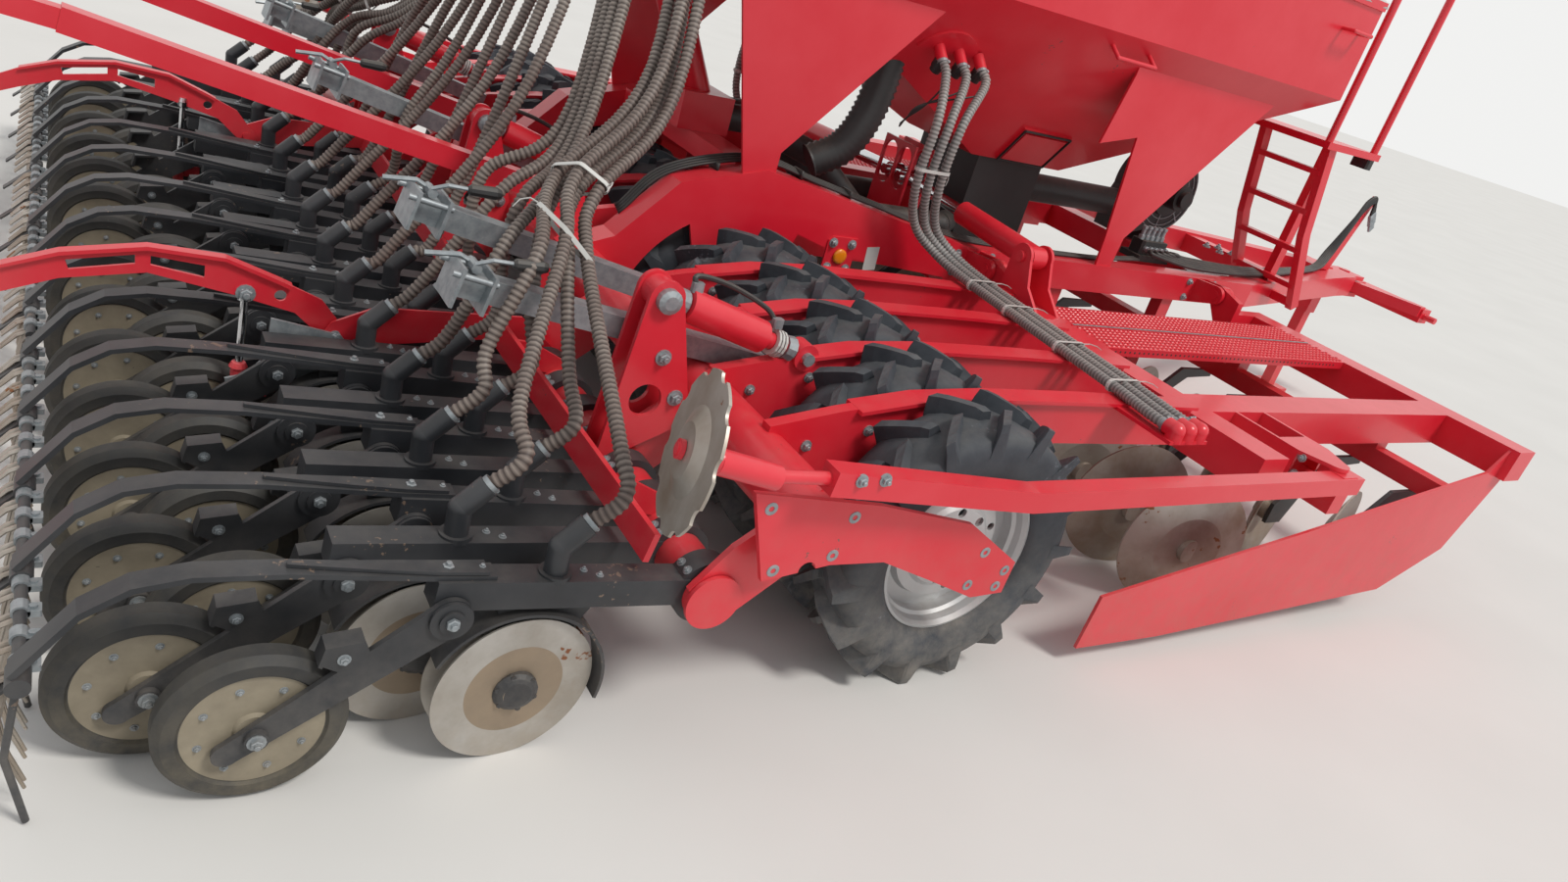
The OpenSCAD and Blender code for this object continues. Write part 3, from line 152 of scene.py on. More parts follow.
# %% World, sun and floor
world = bpy.data.worlds.new("studio")
bpy.context.scene.world = world
world.use_nodes = True
sky = world.node_tree
sky.nodes.clear()
path = add(sky, "ShaderNodeLightPath")
seen = calc(sky, "MAXIMUM", path.outputs["Is Camera Ray"], path.outputs["Is Glossy Ray"])
seen = calc(sky, "MAXIMUM", seen, path.outputs["Is Transmission Ray"])
lamp = add(sky, "ShaderNodeBackground", {"Color": (0.96, 0.98, 1, 1), "Strength": 0.62})
backdrop = add(sky, "ShaderNodeBackground", {"Color": (0.93, 0.93, 0.92, 1), "Strength": 0.95})
mixed = add(sky, "ShaderNodeMixShader", {0: seen, 1: lamp.outputs[0], 2: backdrop.outputs[0]})
add(sky, "ShaderNodeOutputWorld", {0: mixed.outputs[0]})

sun_data = bpy.data.lights.new("soft_sun", "SUN")
sun_data.energy = 1.9
sun_data.angle = math.radians(14)
sun_data.color = (1, 0.97, 0.92)
sun = bpy.data.objects.new("soft_sun", sun_data)
bpy.context.scene.collection.objects.link(sun)
sun.rotation_euler = Vector((-0.35, 0.62, -1.0)).to_track_quat("-Z", "Y").to_euler()

floor_mesh = bpy.data.meshes.new("floor")
side = 60
floor_mesh.from_pydata([(-side, -side, 0), (side, -side, 0), (side, side, 0), (-side, side, 0)], [],
                       [(0, 1, 2, 3)])
floor = bpy.data.objects.new("floor", floor_mesh)
bpy.context.scene.collection.objects.link(floor)
floor_look = bpy.data.materials.new("pale_floor")
floor_look.use_nodes = True
tree = floor_look.node_tree
tree.nodes.clear()
grit = add(tree, "ShaderNodeTexNoise", {"Vector": add(tree, "ShaderNodeTexCoord").outputs["Object"],
                                        "Scale": 1.4, "Detail": 6.0})
tone = add(tree, "ShaderNodeMix", {"Factor": grit.outputs["Fac"], 6: (0.66, 0.65, 0.63, 1),
                                   7: (0.74, 0.73, 0.71, 1)}, data_type="RGBA")
shader = add(tree, "ShaderNodeBsdfDiffuse", {"Color": tone.outputs[2]})
add(tree, "ShaderNodeOutputMaterial", {0: shader.outputs[0]})
floor_mesh.materials.append(floor_look)
print("stage set")

# %% [markdown]
# ## Wear as shader groups
# Paint, steel and rubber on a field machine all share the same wear: blotches of fading, dust that
# settles low down and on top faces, fine chips, and a slightly uneven surface. Each effect is one
# group with named inputs, placed in every material with its own numbers.


# %% Wear groups
def object_place(tree, shift=None):
    """Object coordinates, moved by a shift so that two patterns don't coincide."""
    coords = add(tree, "ShaderNodeTexCoord").outputs["Object"]
    if shift is None:
        return coords
    return add(tree, "ShaderNodeVectorMath", {0: coords, 1: shift}, operation="ADD").outputs[0]


blotch, blotch_in, blotch_out = new_tree(
    "blotches",
    [("Scale", "NodeSocketFloat", 2.0), ("Low", "NodeSocketFloat", 0.4), ("High", "NodeSocketFloat", 0.65),
     ("Shift", "NodeSocketVector", None)],
    [("Mask", "NodeSocketFloat")],
)
cloud = add(blotch, "ShaderNodeTexNoise", {
    "Vector": object_place(blotch, blotch_in.outputs["Shift"]), "Scale": blotch_in.outputs["Scale"],
    "Detail": 5.0, "Roughness": 0.62})
spread = add(blotch, "ShaderNodeMapRange", {
    "Value": cloud.outputs["Fac"], "From Min": blotch_in.outputs["Low"],
    "From Max": blotch_in.outputs["High"]})
blotch.links.new(spread.outputs[0], blotch_out.inputs["Mask"])

dust, dust_in, dust_out = new_tree(
    "settled_dust",
    [("Height", "NodeSocketFloat", 0.5), ("Low amount", "NodeSocketFloat", 0.6),
     ("Top amount", "NodeSocketFloat", 0.3), ("Grain", "NodeSocketFloat", 14.0)],
    [("Mask", "NodeSocketFloat")],
)
spot = add(dust, "ShaderNodeSeparateXYZ", {0: object_place(dust)})
low = add(dust, "ShaderNodeMapRange", {"Value": spot.outputs[2], "From Min": dust_in.outputs["Height"],
                                       "From Max": 0.0})
low = calc(dust, "MULTIPLY", low.outputs[0], dust_in.outputs["Low amount"])
facing = add(dust, "ShaderNodeSeparateXYZ", {0: add(dust, "ShaderNodeNewGeometry").outputs["Normal"]})
top = add(dust, "ShaderNodeMapRange", {"Value": facing.outputs[2], "From Min": 0.35, "From Max": 1.0})
top = calc(dust, "MULTIPLY", top.outputs[0], dust_in.outputs["Top amount"])
speck = add(dust, "ShaderNodeTexNoise", {
    "Vector": object_place(dust, (3.1, 0.7, 5.3)), "Scale": dust_in.outputs["Grain"], "Detail": 7.0,
    "Roughness": 0.7})
speck = add(dust, "ShaderNodeMapRange", {"Value": speck.outputs["Fac"], "From Min": 0.3, "From Max": 0.66})
dusty = calc(dust, "MULTIPLY", calc(dust, "ADD", low, top), speck.outputs[0], use_clamp=True)
dust.links.new(dusty, dust_out.inputs["Mask"])

chips, chips_in, chips_out = new_tree(
    "chips",
    [("Scale", "NodeSocketFloat", 60.0), ("Share", "NodeSocketFloat", 0.1)],
    [("Mask", "NodeSocketFloat")],
)
fine = add(chips, "ShaderNodeTexNoise", {
    "Vector": object_place(chips, (7.7, 1.9, 0.3)), "Scale": chips_in.outputs["Scale"], "Detail": 3.0,
    "Roughness": 0.55})
coarse = add(chips, "ShaderNodeTexNoise", {"Vector": object_place(chips, (0.3, 4.4, 2.6)), "Scale": 5.0,
                                           "Detail": 2.0})
CHIP_LIMIT = 1.42
edge = calc(chips, "SUBTRACT", CHIP_LIMIT, chips_in.outputs["Share"])
over = calc(chips, "SUBTRACT", calc(chips, "ADD", fine.outputs["Fac"], coarse.outputs["Fac"]), edge)
chip = add(chips, "ShaderNodeMapRange", {"Value": over, "From Min": 0.0, "From Max": 0.03})
chips.links.new(chip.outputs[0], chips_out.inputs["Mask"])

relief, relief_in, relief_out = new_tree(
    "uneven_surface",
    [("Scale", "NodeSocketFloat", 30.0), ("Strength", "NodeSocketFloat", 0.15),
     ("Distance", "NodeSocketFloat", 0.002)],
    [("Normal", "NodeSocketVector")],
)
waves = add(relief, "ShaderNodeTexNoise", {"Vector": object_place(relief),
                                           "Scale": relief_in.outputs["Scale"], "Detail": 4.0})
bumped = add(relief, "ShaderNodeBump", {
    "Height": waves.outputs["Fac"], "Strength": relief_in.outputs["Strength"],
    "Distance": relief_in.outputs["Distance"]})
relief.links.new(bumped.outputs[0], relief_out.inputs["Normal"])

ring, ring_in, ring_out = new_tree(
    "inside_radius",
    [("Centre X", "NodeSocketFloat", 0.0), ("Centre Z", "NodeSocketFloat", 0.0),
     ("Radius", "NodeSocketFloat", 0.1)],
    [("Mask", "NodeSocketFloat")],
)
split = add(ring, "ShaderNodeSeparateXYZ", {0: object_place(ring)})
off_x = calc(ring, "SUBTRACT", split.outputs[0], ring_in.outputs["Centre X"])
off_z = calc(ring, "SUBTRACT", split.outputs[2], ring_in.outputs["Centre Z"])
flat = add(ring, "ShaderNodeCombineXYZ", {0: off_x, 2: off_z})
far = add(ring, "ShaderNodeVectorMath", {0: flat.outputs[0]}, operation="LENGTH")
inside = calc(ring, "LESS_THAN", far.outputs["Value"], ring_in.outputs["Radius"])
ring.links.new(inside, ring_out.inputs["Mask"])
print("wear groups:", [g.name for g in bpy.data.node_groups])


# %% [markdown]
# A material places these groups one after another. Two helpers keep that short: one places a group
# with its values, the other covers what is below by what is above where a mask says so.

# %% Placing a group and mixing by its mask
def use(tree, group, **values):
    """A group placed in a material; value names are the socket names with _ for a space."""
    node = tree.nodes.new("ShaderNodeGroup")
    node.node_tree = group
    for key, value in values.items():
        socket = node.inputs[key.replace("_", " ")]
        if isinstance(value, bpy.types.NodeSocket):
            tree.links.new(value, socket)
        else:
            socket.default_value = value
    return node


def blend_colour(tree, mask, below, above):
    """The colour below, covered by the colour above where the mask is 1."""
    below = below if isinstance(below, bpy.types.NodeSocket) else (*below, 1)
    above = above if isinstance(above, bpy.types.NodeSocket) else (*above, 1)
    return add(tree, "ShaderNodeMix", {"Factor": mask, 6: below, 7: above}, data_type="RGBA").outputs[2]


def blend_value(tree, mask, below, above):
    """A number that goes from below to above with the mask."""
    return add(tree, "ShaderNodeMix", {"Factor": mask, 2: below, 3: above}, data_type="FLOAT").outputs[0]


def disc_centre_x(tree, odd, even):
    """X of the disc's axle in the row that a point belongs to: odd rows stand ahead of even ones."""
    across = add(tree, "ShaderNodeSeparateXYZ", {0: object_place(tree)}).outputs[1]
    row = calc(tree, "FLOOR", calc(tree, "MULTIPLY_ADD", across, 1 / ROW_PITCH, ROW_COUNT / 2))
    return blend_value(tree, calc(tree, "MODULO", row, 2.0), odd, even)


def finish_of(name, clean, faded, soil=(0.33, 0.27, 0.21), chip=(0.10, 0.07, 0.06), rough=0.4, metal=0.0,
              coat=0.0, patch=1.6, dust_height=0.6, dust_low=0.5, dust_top=0.22, chip_share=0.06,
              chip_scale=70.0, bump=0.12, bump_scale=26.0, inner=None, groove=None):
    """A worn finish: clean to faded in blotches, chipped, then dusted.

    inner recolours what lies within a radius, and groove is the painted shade colour laid between the ribs
    of a hose.
    """
    made = bpy.data.materials.new(name)
    made.use_nodes = True
    tree = made.node_tree
    shader = tree.nodes["Principled BSDF"]
    mask = use(tree, blotch, Scale=patch, Low=0.38, High=0.66).outputs[0]
    colour = blend_colour(tree, mask, clean, faded)
    if inner is not None:
        centre = disc_centre_x(tree, *inner["rows"]) if "rows" in inner else inner["x"]
        within = use(tree, ring, Centre_X=centre, Centre_Z=inner["z"], Radius=inner["radius"])
        shade = blend_colour(tree, use(tree, blotch, Scale=9.0, Low=0.3, High=0.7,
                                       Shift=(2, 5, 1)).outputs[0], *inner["colours"])
        colour = blend_colour(tree, within.outputs[0], colour, shade)
    chipped = use(tree, chips, Scale=chip_scale, Share=chip_share).outputs[0]
    colour = blend_colour(tree, chipped, colour, chip)
    dusted = use(tree, dust, Height=dust_height, Low_amount=dust_low, Top_amount=dust_top).outputs[0]
    colour = blend_colour(tree, dusted, colour, soil)
    # Painted shade: the grooves between the ribs get a darker colour where the hose tree marks them.
    if groove is not None:
        between = add(tree, "ShaderNodeAttribute", attribute_name="groove").outputs["Fac"]
        colour = blend_colour(tree, between, colour, groove)
    tree.links.new(colour, shader.inputs["Base Color"])
    tree.links.new(blend_value(tree, dusted, rough, 0.9), shader.inputs["Roughness"])
    tree.links.new(use(tree, relief, Scale=bump_scale, Strength=bump).outputs[0], shader.inputs["Normal"])
    shader.inputs["Metallic"].default_value = metal
    shader.inputs["Coat Weight"].default_value = coat
    shader.inputs["Coat Roughness"].default_value = 0.12
    return made


# %% [markdown]
# ## The finishes
# The drill is gloss red, faded pinkish where the sun reaches it. The coulters are black with worn,
# dusty edges, the clamps are galvanised, the discs are bright steel with rust, the tyres are dusty
# blue black, and the seed hoses are grey plastic that has turned brown.

# %% Materials
look = {}
look["red"] = finish_of("red_paint", (0.68, 0.008, 0.026), (0.74, 0.035, 0.055), rough=0.34, coat=0.25,
                        dust_top=0.1, dust_height=0.75, dust_low=0.26, chip_share=0.03)
look["black"] = finish_of("black_paint", (0.018, 0.02, 0.024), (0.045, 0.047, 0.052), rough=0.42,
                          chip=(0.17, 0.12, 0.09), chip_share=0.12, soil=(0.25, 0.22, 0.19),
                          dust_height=0.42, dust_low=0.45, dust_top=0.16, patch=3.0)
look["silver"] = finish_of("silver_paint", (0.56, 0.57, 0.58), (0.46, 0.47, 0.47), rough=0.32, metal=0.35,
                           dust_height=0.5, dust_low=0.25, dust_top=0.2)
look["zinc"] = finish_of("galvanised_steel", (0.36, 0.39, 0.41), (0.25, 0.28, 0.30), rough=0.45, metal=0.5,
                         patch=40.0,
                         chip=(0.32, 0.2, 0.12), chip_share=0.05, dust_top=0.2, dust_height=0.3)
look["disc"] = finish_of("worn_disc_steel", (0.46, 0.43, 0.39), (0.30, 0.24, 0.19), rough=0.42,
                         metal=0.55, patch=5.0, soil=(0.42, 0.33, 0.23), chip=(0.25, 0.10, 0.04),
                         chip_share=0.14, chip_scale=30.0, dust_height=0.35, dust_low=0.6)
look["opener"] = finish_of(
    "opener_steel", (0.50, 0.48, 0.45), (0.36, 0.33, 0.29), soil=(0.42, 0.34, 0.25), rough=0.42, metal=0.55,
    patch=6.0,
    chip=(0.24, 0.085, 0.035), chip_share=0.13, chip_scale=22.0, dust_height=0.3, dust_low=0.4,
    inner={"rows": tuple((x - MID_X) / 1000 for x in (OPENER_X, OPENER_X + RANK_STEP)), "z": 0.17,
           "radius": 0.104, "colours": ((0.36, 0.28, 0.20), (0.27, 0.215, 0.16))})
look["chrome"] = finish_of("chromed_rod", (0.70, 0.71, 0.73), (0.62, 0.63, 0.65), rough=0.12, metal=1.0,
                           chip_share=0.0, dust_top=0.08, dust_low=0.0, bump=0.02)
look["tyre"] = finish_of("tyre_rubber", (0.030, 0.036, 0.046), (0.060, 0.068, 0.080),
                         soil=(0.30, 0.27, 0.23), rough=0.72, chip=(0.10, 0.11, 0.13), chip_share=0.12,
                         dust_height=0.5, dust_low=0.6, dust_top=0.18, patch=7.0, bump=0.3,
                         bump_scale=60.0)
for rank, axle_x in (("front", PRESS_X), ("rear", PRESS_X + RANK_STEP)):
    look["press_" + rank] = finish_of("press_wheel_" + rank, (0.022, 0.023, 0.025), (0.042, 0.042, 0.043),
                                      rough=0.62, patch=6.0, chip=(0.12, 0.10, 0.08), chip_share=0.1,
                                      dust_height=0.36, dust_low=0.45, dust_top=0.1,
                                      soil=(0.26, 0.22, 0.15), bump=0.25, bump_scale=50.0,
                                      inner={"x": (axle_x - MID_X) / 1000, "z": 0.16, "radius": 0.118,
                                             "colours": ((0.33, 0.285, 0.21), (0.20, 0.17, 0.125))})
look["plastic"] = finish_of("black_plastic", (0.017, 0.017, 0.018), (0.035, 0.035, 0.036), rough=0.5,
                            chip_share=0.02, dust_height=0.9, dust_low=0.25, dust_top=0.25)
# The seed hose's groove colour is painted shade between its ribs.
look["hose"] = finish_of("seed_hose", (0.17, 0.125, 0.108), (0.33, 0.285, 0.25), soil=(0.36, 0.31, 0.26),
                         rough=0.55, chip_share=0.0, dust_height=1.0, dust_low=0.2, dust_top=0.16,
                         patch=3.5, bump=0.05, groove=(0.045, 0.03, 0.026))
look["tarp"] = finish_of("tarpaulin", (0.70, 0.70, 0.68), (0.60, 0.60, 0.58), rough=0.55, chip_share=0.0,
                         dust_top=0.15, dust_low=0.0, bump=0.2, bump_scale=12.0)
look["white"] = finish_of("white_plastic", (0.62, 0.62, 0.60), (0.50, 0.50, 0.48), rough=0.5,
                          chip_share=0.02, dust_height=1.0, dust_low=0.2, dust_top=0.2)
look["amber"] = finish_of("amber_reflector", (0.85, 0.27, 0.01), (0.75, 0.20, 0.01), rough=0.2,
                          chip_share=0.0, dust_low=0.05, dust_top=0.05)
look["lens"] = finish_of("red_lens", (0.62, 0.02, 0.02), (0.5, 0.02, 0.02), rough=0.15, chip_share=0.0,
                         dust_low=0.05, dust_top=0.05)
# The side hose's groove colour is painted shade between its ribs.
look["hose_grey"] = finish_of("side_hose", (0.34, 0.33, 0.325), (0.43, 0.405, 0.375),
                              soil=(0.40, 0.36, 0.30), rough=0.5, chip_share=0.0, dust_height=1.0,
                              dust_low=0.2, dust_top=0.2, patch=3.0, bump=0.05,
                              groove=(0.10, 0.095, 0.09))
print("materials:", len(look))

# %% [markdown]
# Each solid takes one finish from the table. The check at the end prints what was forgotten.

# %% Finishes on the solids
SIDES = ("right", "centre", "left")


def each(*stems, sides=SIDES):
    """Every stem with the name of each side behind it."""
    return [stem + "_" + side_name for stem in stems for side_name in sides]


FINISH = {
    "red": ["main_frame", "drawbar", "hopper", "platform", "seed_tower", "lamp_carriers", "hitch", "stand",
            "flap", *each("wing_frame", "marker_arm", "sickle", "fold_barrel", sides=SIDES[::2])],
    "black": each("harrow_arms", "coulters"),
    "disc": each("harrow_discs") + each("marker_disc", sides=SIDES[::2]),
    "opener": each("openers"),
    "tyre": each("tyres"),
    "silver": each("rims"),
    "press_front": each("press_front"),
    "press_rear": each("press_rear"),
    "plastic": ["fan", "metering_unit"],
    "chrome": each("fold_rod", sides=SIDES[::2]),
    "tarp": ["hopper_cover"],
    "zinc": each("brackets"),
    "hose": each("seed_hoses") + each("side_hoses", sides=SIDES[::2]),
}
for finish, names in FINISH.items():
    for name in names:
        mesh = nodes[name].data
        mesh.materials.clear()
        mesh.materials.append(look[finish])
unfinished = sorted(set(nodes) - {n for names in FINISH.values() for n in names})
print("solids without a finish:", unfinished)

# %% [markdown]
# ## Building blocks for small parts
# Small parts on a machine are mostly turned shapes, bent rods, plates and boxes. Blender's own
# primitives could be placed one by one, but gathering points and faces in plain lists keeps a whole
# family of parts in one mesh, drawn in the drawing's millimetres.


# %% Gathering shapes for one mesh
def smooth_route(points, per=8):
    """A smooth line through the points, with per steps between two of them."""
    points = [Vector(p) for p in points]
    ends = [2 * points[0] - points[1], *points, 2 * points[-1] - points[-2]]
    line = []
    for a, b, c, d in zip(ends, ends[1:], ends[2:], ends[3:]):
        for step in range(per):
            t = step / per
            line.append((2 * b + (c - a) * t + (2 * a - 5 * b + 4 * c - d) * t * t
                         + (3 * b - a - 3 * c + d) * t * t * t) / 2)
    return line + [points[-1]]


class Gathered:
    """Points in the drawing's millimetres, and faces, of one mesh to be."""

    def __init__(self):
        self.points = []
        self.faces = []

    def rings(self, rings, closed=False):
        """Equal rings of points joined in order; the ends are capped unless the last meets the first."""
        count, first = len(rings[0]), len(self.points)
        for ring_points in rings:
            self.points += [Vector(p) for p in ring_points]
        for i in range(len(rings) if closed else len(rings) - 1):
            a, b = first + i * count, first + (i + 1) % len(rings) * count
            self.faces += [(a + k, a + (k + 1) % count, b + (k + 1) % count, b + k) for k in range(count)]
        if not closed:
            self.faces.append(tuple(range(first + count - 1, first - 1, -1)))
            self.faces.append(tuple(first + (len(rings) - 1) * count + k for k in range(count)))

    def tube(self, route, radius, sides=8):
        """A round rod along a route; radius is a number or one number for each point."""
        route = [Vector(p) for p in route]
        radii = [radius] * len(route) if isinstance(radius, (int, float)) else radius
        side = Vector((0.12, 0.35, 1.0))
        rings = []
        for i, spot in enumerate(route):
            ahead = (route[min(i + 1, len(route) - 1)] - route[max(i - 1, 0)]).normalized()
            side = (side - ahead * side.dot(ahead)).normalized()
            other = ahead.cross(side)
            rings.append([spot + radii[i] * (math.cos(a) * side + math.sin(a) * other)
                          for a in (2 * math.pi * k / sides for k in range(sides))])
        self.rings(rings)

    def turned(self, base, aim, profile, sides=16):
        """A solid turned about the line from base along aim; profile lists (height, radius)."""
        base, aim = Vector(base), Vector(aim).normalized()
        side = aim.orthogonal().normalized()
        other = aim.cross(side)
        self.rings([[base + aim * h + r * (math.cos(a) * side + math.sin(a) * other)
                     for a in (2 * math.pi * k / sides for k in range(sides))] for h, r in profile])

    def ring_of(self, centre, aim, section, sides=16):
        """A ring about the line through centre along aim; section lists (height, radius) once round."""
        centre, aim = Vector(centre), Vector(aim).normalized()
        side = aim.orthogonal().normalized()
        other = aim.cross(side)
        rings = []
        for k in range(sides):
            a = 2 * math.pi * k / sides
            out = math.cos(a) * side + math.sin(a) * other
            rings.append([centre + out * r + aim * h for h, r in section])
        self.rings(rings, closed=True)

    def hoop(self, centre, aim, radius, thick, wide, sides=16):
        """A band around a pipe: radius is inside, thick and wide are its section."""
        self.ring_of(centre, aim, [(-wide / 2, radius), (-wide / 2, radius + thick),
                                   (wide / 2, radius + thick), (wide / 2, radius)], sides)

    def plate(self, outline, y0, y1):
        """An outline in X and Z, as thick as from y0 to y1."""
        self.rings([[(x, y0, z) for x, z in outline], [(x, y1, z) for x, z in outline]])

    def box(self, low, high):
        """A box with slightly rounded upright edges between two corners."""
        (x0, y0, z0), (x1, y1, z1) = low, high
        c = 0.18 * min(x1 - x0, y1 - y0, z1 - z0)
        outline = [(x0 + c, y0), (x1 - c, y0), (x1, y0 + c), (x1, y1 - c), (x1 - c, y1), (x0 + c, y1),
                   (x0, y1 - c), (x0, y0 + c)]
        self.rings([[(x, y, z) for x, y in outline] for z in (z0, z1)])

    def mirrored(self):
        """The same shapes on the machine's other side."""
        other = Gathered()
        other.points = [Vector((p.x, -p.y, p.z)) for p in self.points]
        other.faces = [tuple(reversed(f)) for f in self.faces]
        return other


def outward(mesh):
    """Turns every face of closed shapes outwards."""
    shape = bmesh.new()
    shape.from_mesh(mesh)
    bmesh.ops.recalc_face_normals(shape, faces=shape.faces)
    shape.to_mesh(mesh)
    shape.free()


def mesh_of(name, gathered, in_frame=True):
    """A mesh of what was gathered, in the frame's metres, or in plain units for a part to be repeated."""
    mesh = bpy.data.meshes.new(name)
    points = [place(*p) if in_frame else p for p in gathered.points]
    mesh.from_pydata([tuple(p) for p in points], [], gathered.faces)
    outward(mesh)
    return mesh


def placed(name, mesh, finish, body, smooth=False):
    """The piece of that mesh, finished and riding on a body."""
    piece = bpy.data.objects.new(name, mesh)
    bpy.context.scene.collection.objects.link(piece)
    mesh.materials.clear()
    mesh.materials.append(look[finish])
    mesh.polygons.foreach_set("use_smooth", [smooth] * len(mesh.polygons))
    if body is not None:
        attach(piece, body)
    count = sum(len(p.vertices) - 2 for p in mesh.polygons)
    print(f"{name}: {count} triangles")
    return piece


def piece_of(name, gathered, finish, body="frame", smooth=False):
    """The piece of what was gathered, on the frame where no other body is named."""
    return placed(name, mesh_of(name, gathered), finish, body, smooth)


def on_both_wings(name, gathered, finish):
    """A piece on the right wing and its mirror image on the left one."""
    piece_of(name + "_right", gathered, finish, "wing_right")
    piece_of(name + "_left", gathered.mirrored(), finish, "wing_left")


# %% [markdown]
# ## Two node trees for what repeats
# Hundreds of bolts, clips and lugs are the same shape at many places. Copying objects would fill the
# file, so a Geometry Nodes tree puts a part on every point, turned by two stored directions and
# scaled by a stored size.

# %% A part on every point
tree, tree_in, tree_out = new_tree(
    "part_on_points",
    [("Geometry", "NodeSocketGeometry", None), ("Part", "NodeSocketObject", None),
     ("Size", "NodeSocketFloat", 1.0), ("Finish", "NodeSocketMaterial", None)],
    [("Geometry", "NodeSocketGeometry")],
    "GeometryNodeTree",
)
points = add(tree, "GeometryNodeMeshToPoints", {"Mesh": tree_in.outputs["Geometry"]})
aim = add(tree, "GeometryNodeInputNamedAttribute", {"Name": "aim"}, data_type="FLOAT_VECTOR")
roll = add(tree, "GeometryNodeInputNamedAttribute", {"Name": "roll"}, data_type="FLOAT_VECTOR")
size = add(tree, "GeometryNodeInputNamedAttribute", {"Name": "size"}, data_type="FLOAT")
scale = calc(tree, "MULTIPLY", size.outputs[0], tree_in.outputs["Size"])
turn = add(tree, "FunctionNodeAxesToRotation", {0: aim.outputs[0], 1: roll.outputs[0]}, primary_axis="Z",
           secondary_axis="X")
part = add(tree, "GeometryNodeObjectInfo", {"Object": tree_in.outputs["Part"]})
copies = add(tree, "GeometryNodeInstanceOnPoints", {"Points": points.outputs[0],
                                                    "Instance": part.outputs["Geometry"],
             "Rotation": turn.outputs[0], "Scale": scale})
real = add(tree, "GeometryNodeRealizeInstances", {0: copies.outputs[0]})
painted = add(tree, "GeometryNodeSetMaterial", {"Geometry": real.outputs[0],
                                                "Material": tree_in.outputs["Finish"]})
tree.links.new(painted.outputs[0], tree_out.inputs[0])
part_on_points = tree

# %% [markdown]
# A ribbed hose is the same circle at many places along a line. Every other circle is smaller, and
# the tree stores which ones, so that the material can paint shade into the grooves as a darker colour.

# %% A ribbed hose along every line
tree, tree_in, tree_out = new_tree(
    "ribbed_hose",
    [("Geometry", "NodeSocketGeometry", None), ("Radius", "NodeSocketFloat", 0.017),
     ("Rib pitch", "NodeSocketFloat", 0.01), ("Rib depth", "NodeSocketFloat", 0.002),
     ("Sides", "NodeSocketInt", 8), ("Finish", "NodeSocketMaterial", None)],
    [("Geometry", "NodeSocketGeometry")],
    "GeometryNodeTree",
)
line = add(tree, "GeometryNodeMeshToCurve", {"Mesh": tree_in.outputs["Geometry"]})
half = calc(tree, "MULTIPLY", tree_in.outputs["Rib pitch"], 0.5)
even = add(tree, "GeometryNodeResampleCurve", {"Curve": line.outputs[0], "Length": half}, mode="LENGTH")
rank = add(tree, "GeometryNodeSplineParameter")
odd = calc(tree, "MODULO", rank.outputs["Index"], 2.0)
dip = calc(tree, "MULTIPLY", odd, tree_in.outputs["Rib depth"])
reach = calc(tree, "SUBTRACT", tree_in.outputs["Radius"], dip)
round_ring = add(tree, "GeometryNodeCurvePrimitiveCircle", {"Resolution": tree_in.outputs["Sides"],
                                                            "Radius": 1.0})
# Every other ring is marked for the painted shade that the hose materials put in the grooves.
marked = add(tree, "GeometryNodeStoreNamedAttribute", {"Geometry": even.outputs[0], "Name": "groove",
                                                       "Value": odd}, data_type="FLOAT", domain="POINT")
swept = add(tree, "GeometryNodeCurveToMesh", {"Curve": marked.outputs[0],
                                              "Profile Curve": round_ring.outputs[0],
            "Scale": reach, "Fill Caps": True})
real = add(tree, "GeometryNodeRealizeInstances", {0: swept.outputs[0]})
painted = add(tree, "GeometryNodeSetMaterial", {"Geometry": real.outputs[0],
                                                "Material": tree_in.outputs["Finish"]})
tree.links.new(painted.outputs[0], tree_out.inputs[0])
ribbed_hose = tree
print("trees:", part_on_points.name, ribbed_hose.name)


# %% [markdown]
# A tree needs a mesh to start from: points for parts, lines for hoses. What grows on it is turned
# into a plain mesh at once, so that the piece that is placed has no live modifier.

# %% Growing a tree on a seed mesh
def grown(name, seed_mesh, tree, **values):
    """The plain mesh that a tree makes of a seed; values have its inputs' names, with _ for a space."""
    seed = bpy.data.objects.new(name + "_seed", seed_mesh)
    bpy.context.scene.collection.objects.link(seed)
    modifier = seed.modifiers.new("grow", "NODES")
    modifier.node_group = tree
    for item in tree.interface.items_tree:
        key = item.name.replace(" ", "_")
        if item.item_type == "SOCKET" and item.in_out == "INPUT" and key in values:
            modifier[item.identifier] = values[key]
    seed.update_tag()
    bpy.context.view_layer.update()
    graph = bpy.context.evaluated_depsgraph_get()
    made = bpy.data.meshes.new_from_object(seed.evaluated_get(graph))
    made.name = name
    bpy.data.objects.remove(seed)
    return made


def line_mesh(name, routes):
    """Routes in the drawing's millimetres as a mesh of edges only."""
    points, edges = [], []
    for route in routes:
        first = len(points)
        points += [tuple(place(*p)) for p in route]
        edges += [(first + k, first + k + 1) for k in range(len(route) - 1)]
    mesh = bpy.data.meshes.new(name)
    mesh.from_pydata(points, edges, [])
    return mesh


def hoses(name, routes, finish, radius, pitch, depth, sides=8):
    """Ribbed hoses along the routes, not yet riding on anything."""
    mesh = grown(name, line_mesh(name, routes), ribbed_hose, Radius=radius / 1000, Rib_pitch=pitch / 1000,
                 Rib_depth=depth / 1000, Sides=sides, Finish=look[finish])
    outward(mesh)
    return placed(name, mesh, finish, None, smooth=True)


